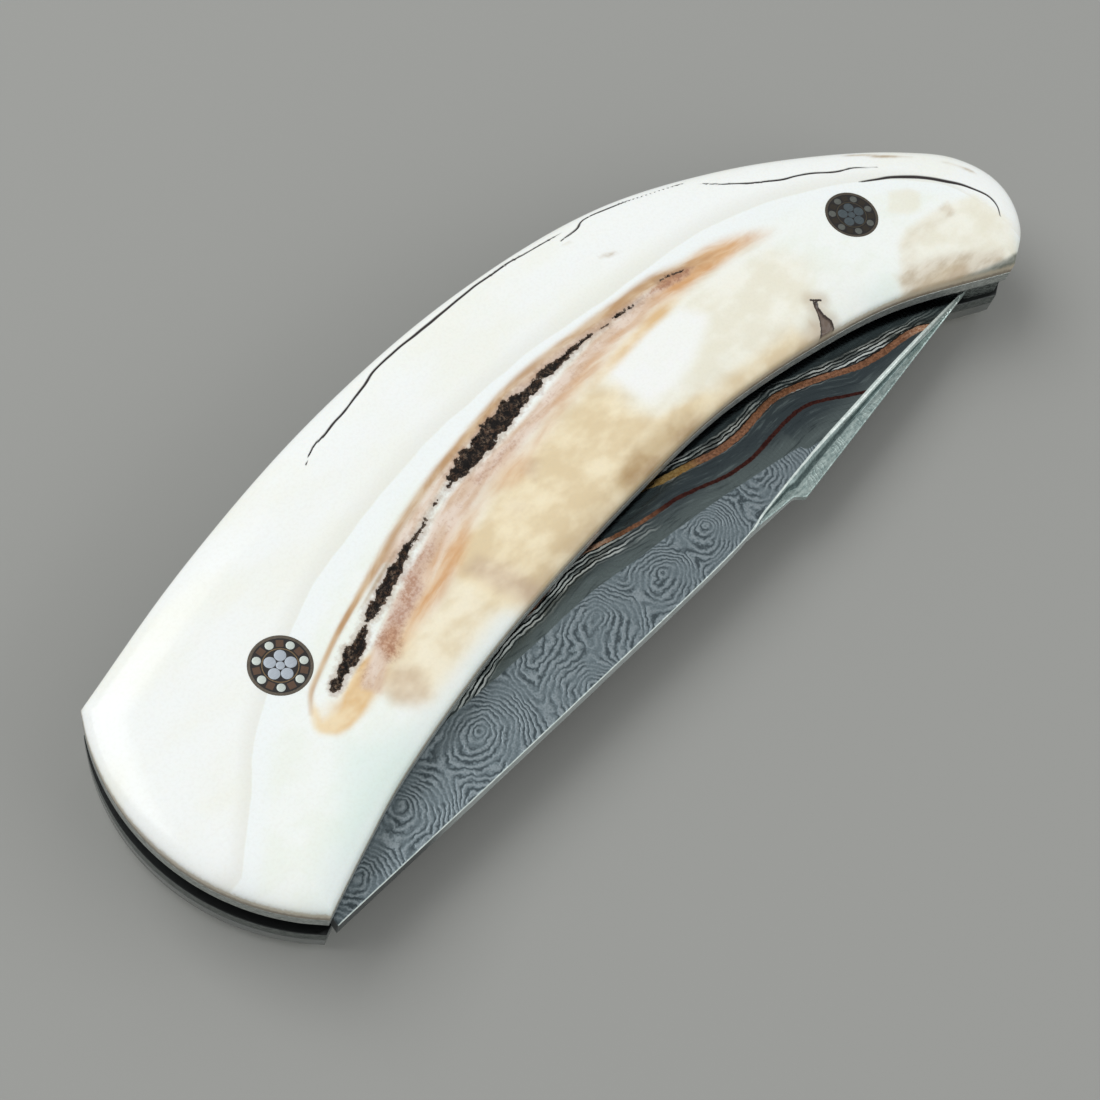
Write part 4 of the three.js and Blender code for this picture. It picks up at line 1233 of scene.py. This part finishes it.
def add_mosaic_pin(pin, x, metals):
    turn = PIN_TURNS[pin]
    bore = PIN_RADIUS - TUBE_WALL

    def spots(count, radius, start):
        angles = start + 2 * math.pi * np.arange(count) / count
        return [(x + radius * math.cos(a), radius * math.sin(a), a) for a in angles]

    rods = spots(ROD_COUNT, ROD_CIRCLE, turn + math.pi)
    bars = spots(ROD_COUNT, ROD_CIRCLE, turn + math.pi * (1 + 1 / ROD_COUNT))
    petals = spots(PETAL_COUNT, PETAL_CIRCLE, turn)
    corner = BAR_WIDTH / math.sqrt(2)

    def round_ones(places, radius):
        return [circle(px, py, radius, 24) for px, py, _ in places]

    def square_ones(extra=0.0):
        return [circle(px, py, corner + extra, 4, a + math.pi / 4) for px, py, a in bars]

    def add(part, meshes, metal, nodes):
        name = f"{pin}_{part}_fine"
        add_piece(name, joined(name, meshes), "handle", metals[metal], nodes)

    tube = stub(circle(x, 0, PIN_RADIUS), [circle(x, 0, bore)])
    add("tube", [tube], "tube", [pin + "_tube"])
    inner = stub(circle(x, 0, INNER_TUBE), [circle(x, 0, INNER_TUBE - INNER_WALL)])
    add("inner_tube", [inner], "brass", [pin + "_inner_tube"])
    gap = ROD_CLEARANCE
    ring_holes = [circle(x, 0, INNER_TUBE + gap), *round_ones(rods, ROD_RADIUS + gap), *square_ones(gap)]
    ring = stub(circle(x, 0, bore - gap), ring_holes)
    core_holes = [*round_ones(petals, PETAL_RADIUS + gap), circle(x, 0, CENTRE_RADIUS + gap, 24)]
    core = stub(circle(x, 0, INNER_TUBE - INNER_WALL - gap), core_holes)
    add("resin", [ring, core], "resin", [pin + "_ring_resin", pin + "_core_resin"])
    rounds = [stub(o, (), ROD_DOME) for o in round_ones(rods, ROD_RADIUS)]
    add("rods", rounds, "rod", [f"{pin}_rod_{i + 1}" for i in range(ROD_COUNT)])
    squares = [stub(o) for o in square_ones()]
    add("bars", squares, "copper", [f"{pin}_bar_{i + 1}" for i in range(ROD_COUNT)])
    flower = round_ones(petals, PETAL_RADIUS) + [circle(x, 0, CENTRE_RADIUS, 24)]
    nodes = [f"{pin}_petal_{i + 1}" for i in range(PETAL_COUNT)] + [pin + "_centre_rod"]
    add("flower", [stub(o, (), ROD_DOME) for o in flower], "petal", nodes)


def add_pins():
    metals = {key: pin_metal("mosaic_" + key, *look) for key, look in PIN_METALS.items()}
    add_mosaic_pin("pivot_pin", 0.0, metals)
    # Painted shade: the spacer pin gets the darker metals
    for key, look in SHADED_PIN_METALS.items():
        metals[key] = pin_metal(f"mosaic_{key}_dark", *look)
    add_mosaic_pin("spacer_pin", PIN_SPACING, metals)


# Camera, floor and lights


def add_camera():
    data = bpy.data.cameras.new("camera")
    data.sensor_width = SENSOR
    data.lens = SENSOR * FOCAL_PIXELS / IMAGE_PIXELS
    data.clip_start, data.clip_end = 0.01, 20
    camera = linked("camera", data)
    turn = Matrix((CAMERA_RIGHT, CAMERA_UP, [-v for v in CAMERA_AHEAD])).transposed()
    place = to_row(np.array(CAMERA_PLACE) + (0, 0, CROWN))
    camera.matrix_world = Matrix.Translation(place) @ turn.to_4x4()
    bpy.context.scene.camera = camera


def add_floor():
    s = Shader("floor", roughness=0.9)
    s.set("Base Color", (160, 161, 158))
    s.set("Specular IOR Level", 0.1)
    mesh = bpy.data.meshes.new("floor")
    corners = [(x * FLOOR_REACH, y * FLOOR_REACH, 0) for x, y in ((-1, -1), (1, -1), (1, 1), (-1, 1))]
    mesh.from_pydata(corners, [], [(0, 1, 2, 3)])
    mesh.materials.append(s.material)
    floor = linked("floor", mesh)


def add_light(name, place, size, power):
    """A soft lamp that points at the middle of the frame, in metres and watts."""
    data = bpy.data.lights.new(name, "AREA")
    data.shape = "RECTANGLE"
    data.size, data.size_y = size
    data.energy = power
    lamp = linked(name, data)
    lamp.location = place
    lamp.rotation_mode = "QUATERNION"
    lamp.rotation_quaternion = (-Vector(place)).to_track_quat("-Z", "Y")


def add_lights():
    add_light("key", (-0.25, 0.55, 0.75), (0.9, 0.6), 5.3)
    add_light("fill", (0.5, -0.8, 0.45), (1.1, 0.7), 3)
    world = bpy.data.worlds.new("studio")
    world.use_nodes = True
    world.node_tree.nodes["Background"].inputs["Color"].default_value = (1, 1, 1, 1)
    world.node_tree.nodes["Background"].inputs["Strength"].default_value = WORLD_STRENGTH
    bpy.context.scene.world = world


rim = rounded_loop(cad_loop("top_liner"))
pin_holes = [circle(x, 0, PIN_RADIUS + PIN_CLEARANCE) for x in (0.0, PIN_SPACING)]
add_camera()
add_floor()
add_lights()
add_scales(rim, pin_holes)
add_liners(rim, pin_holes)
add_spacer()
finish_hidden_nodes()
add_blade()
add_pins()

bpy.context.scene.view_settings.view_transform = "Standard"
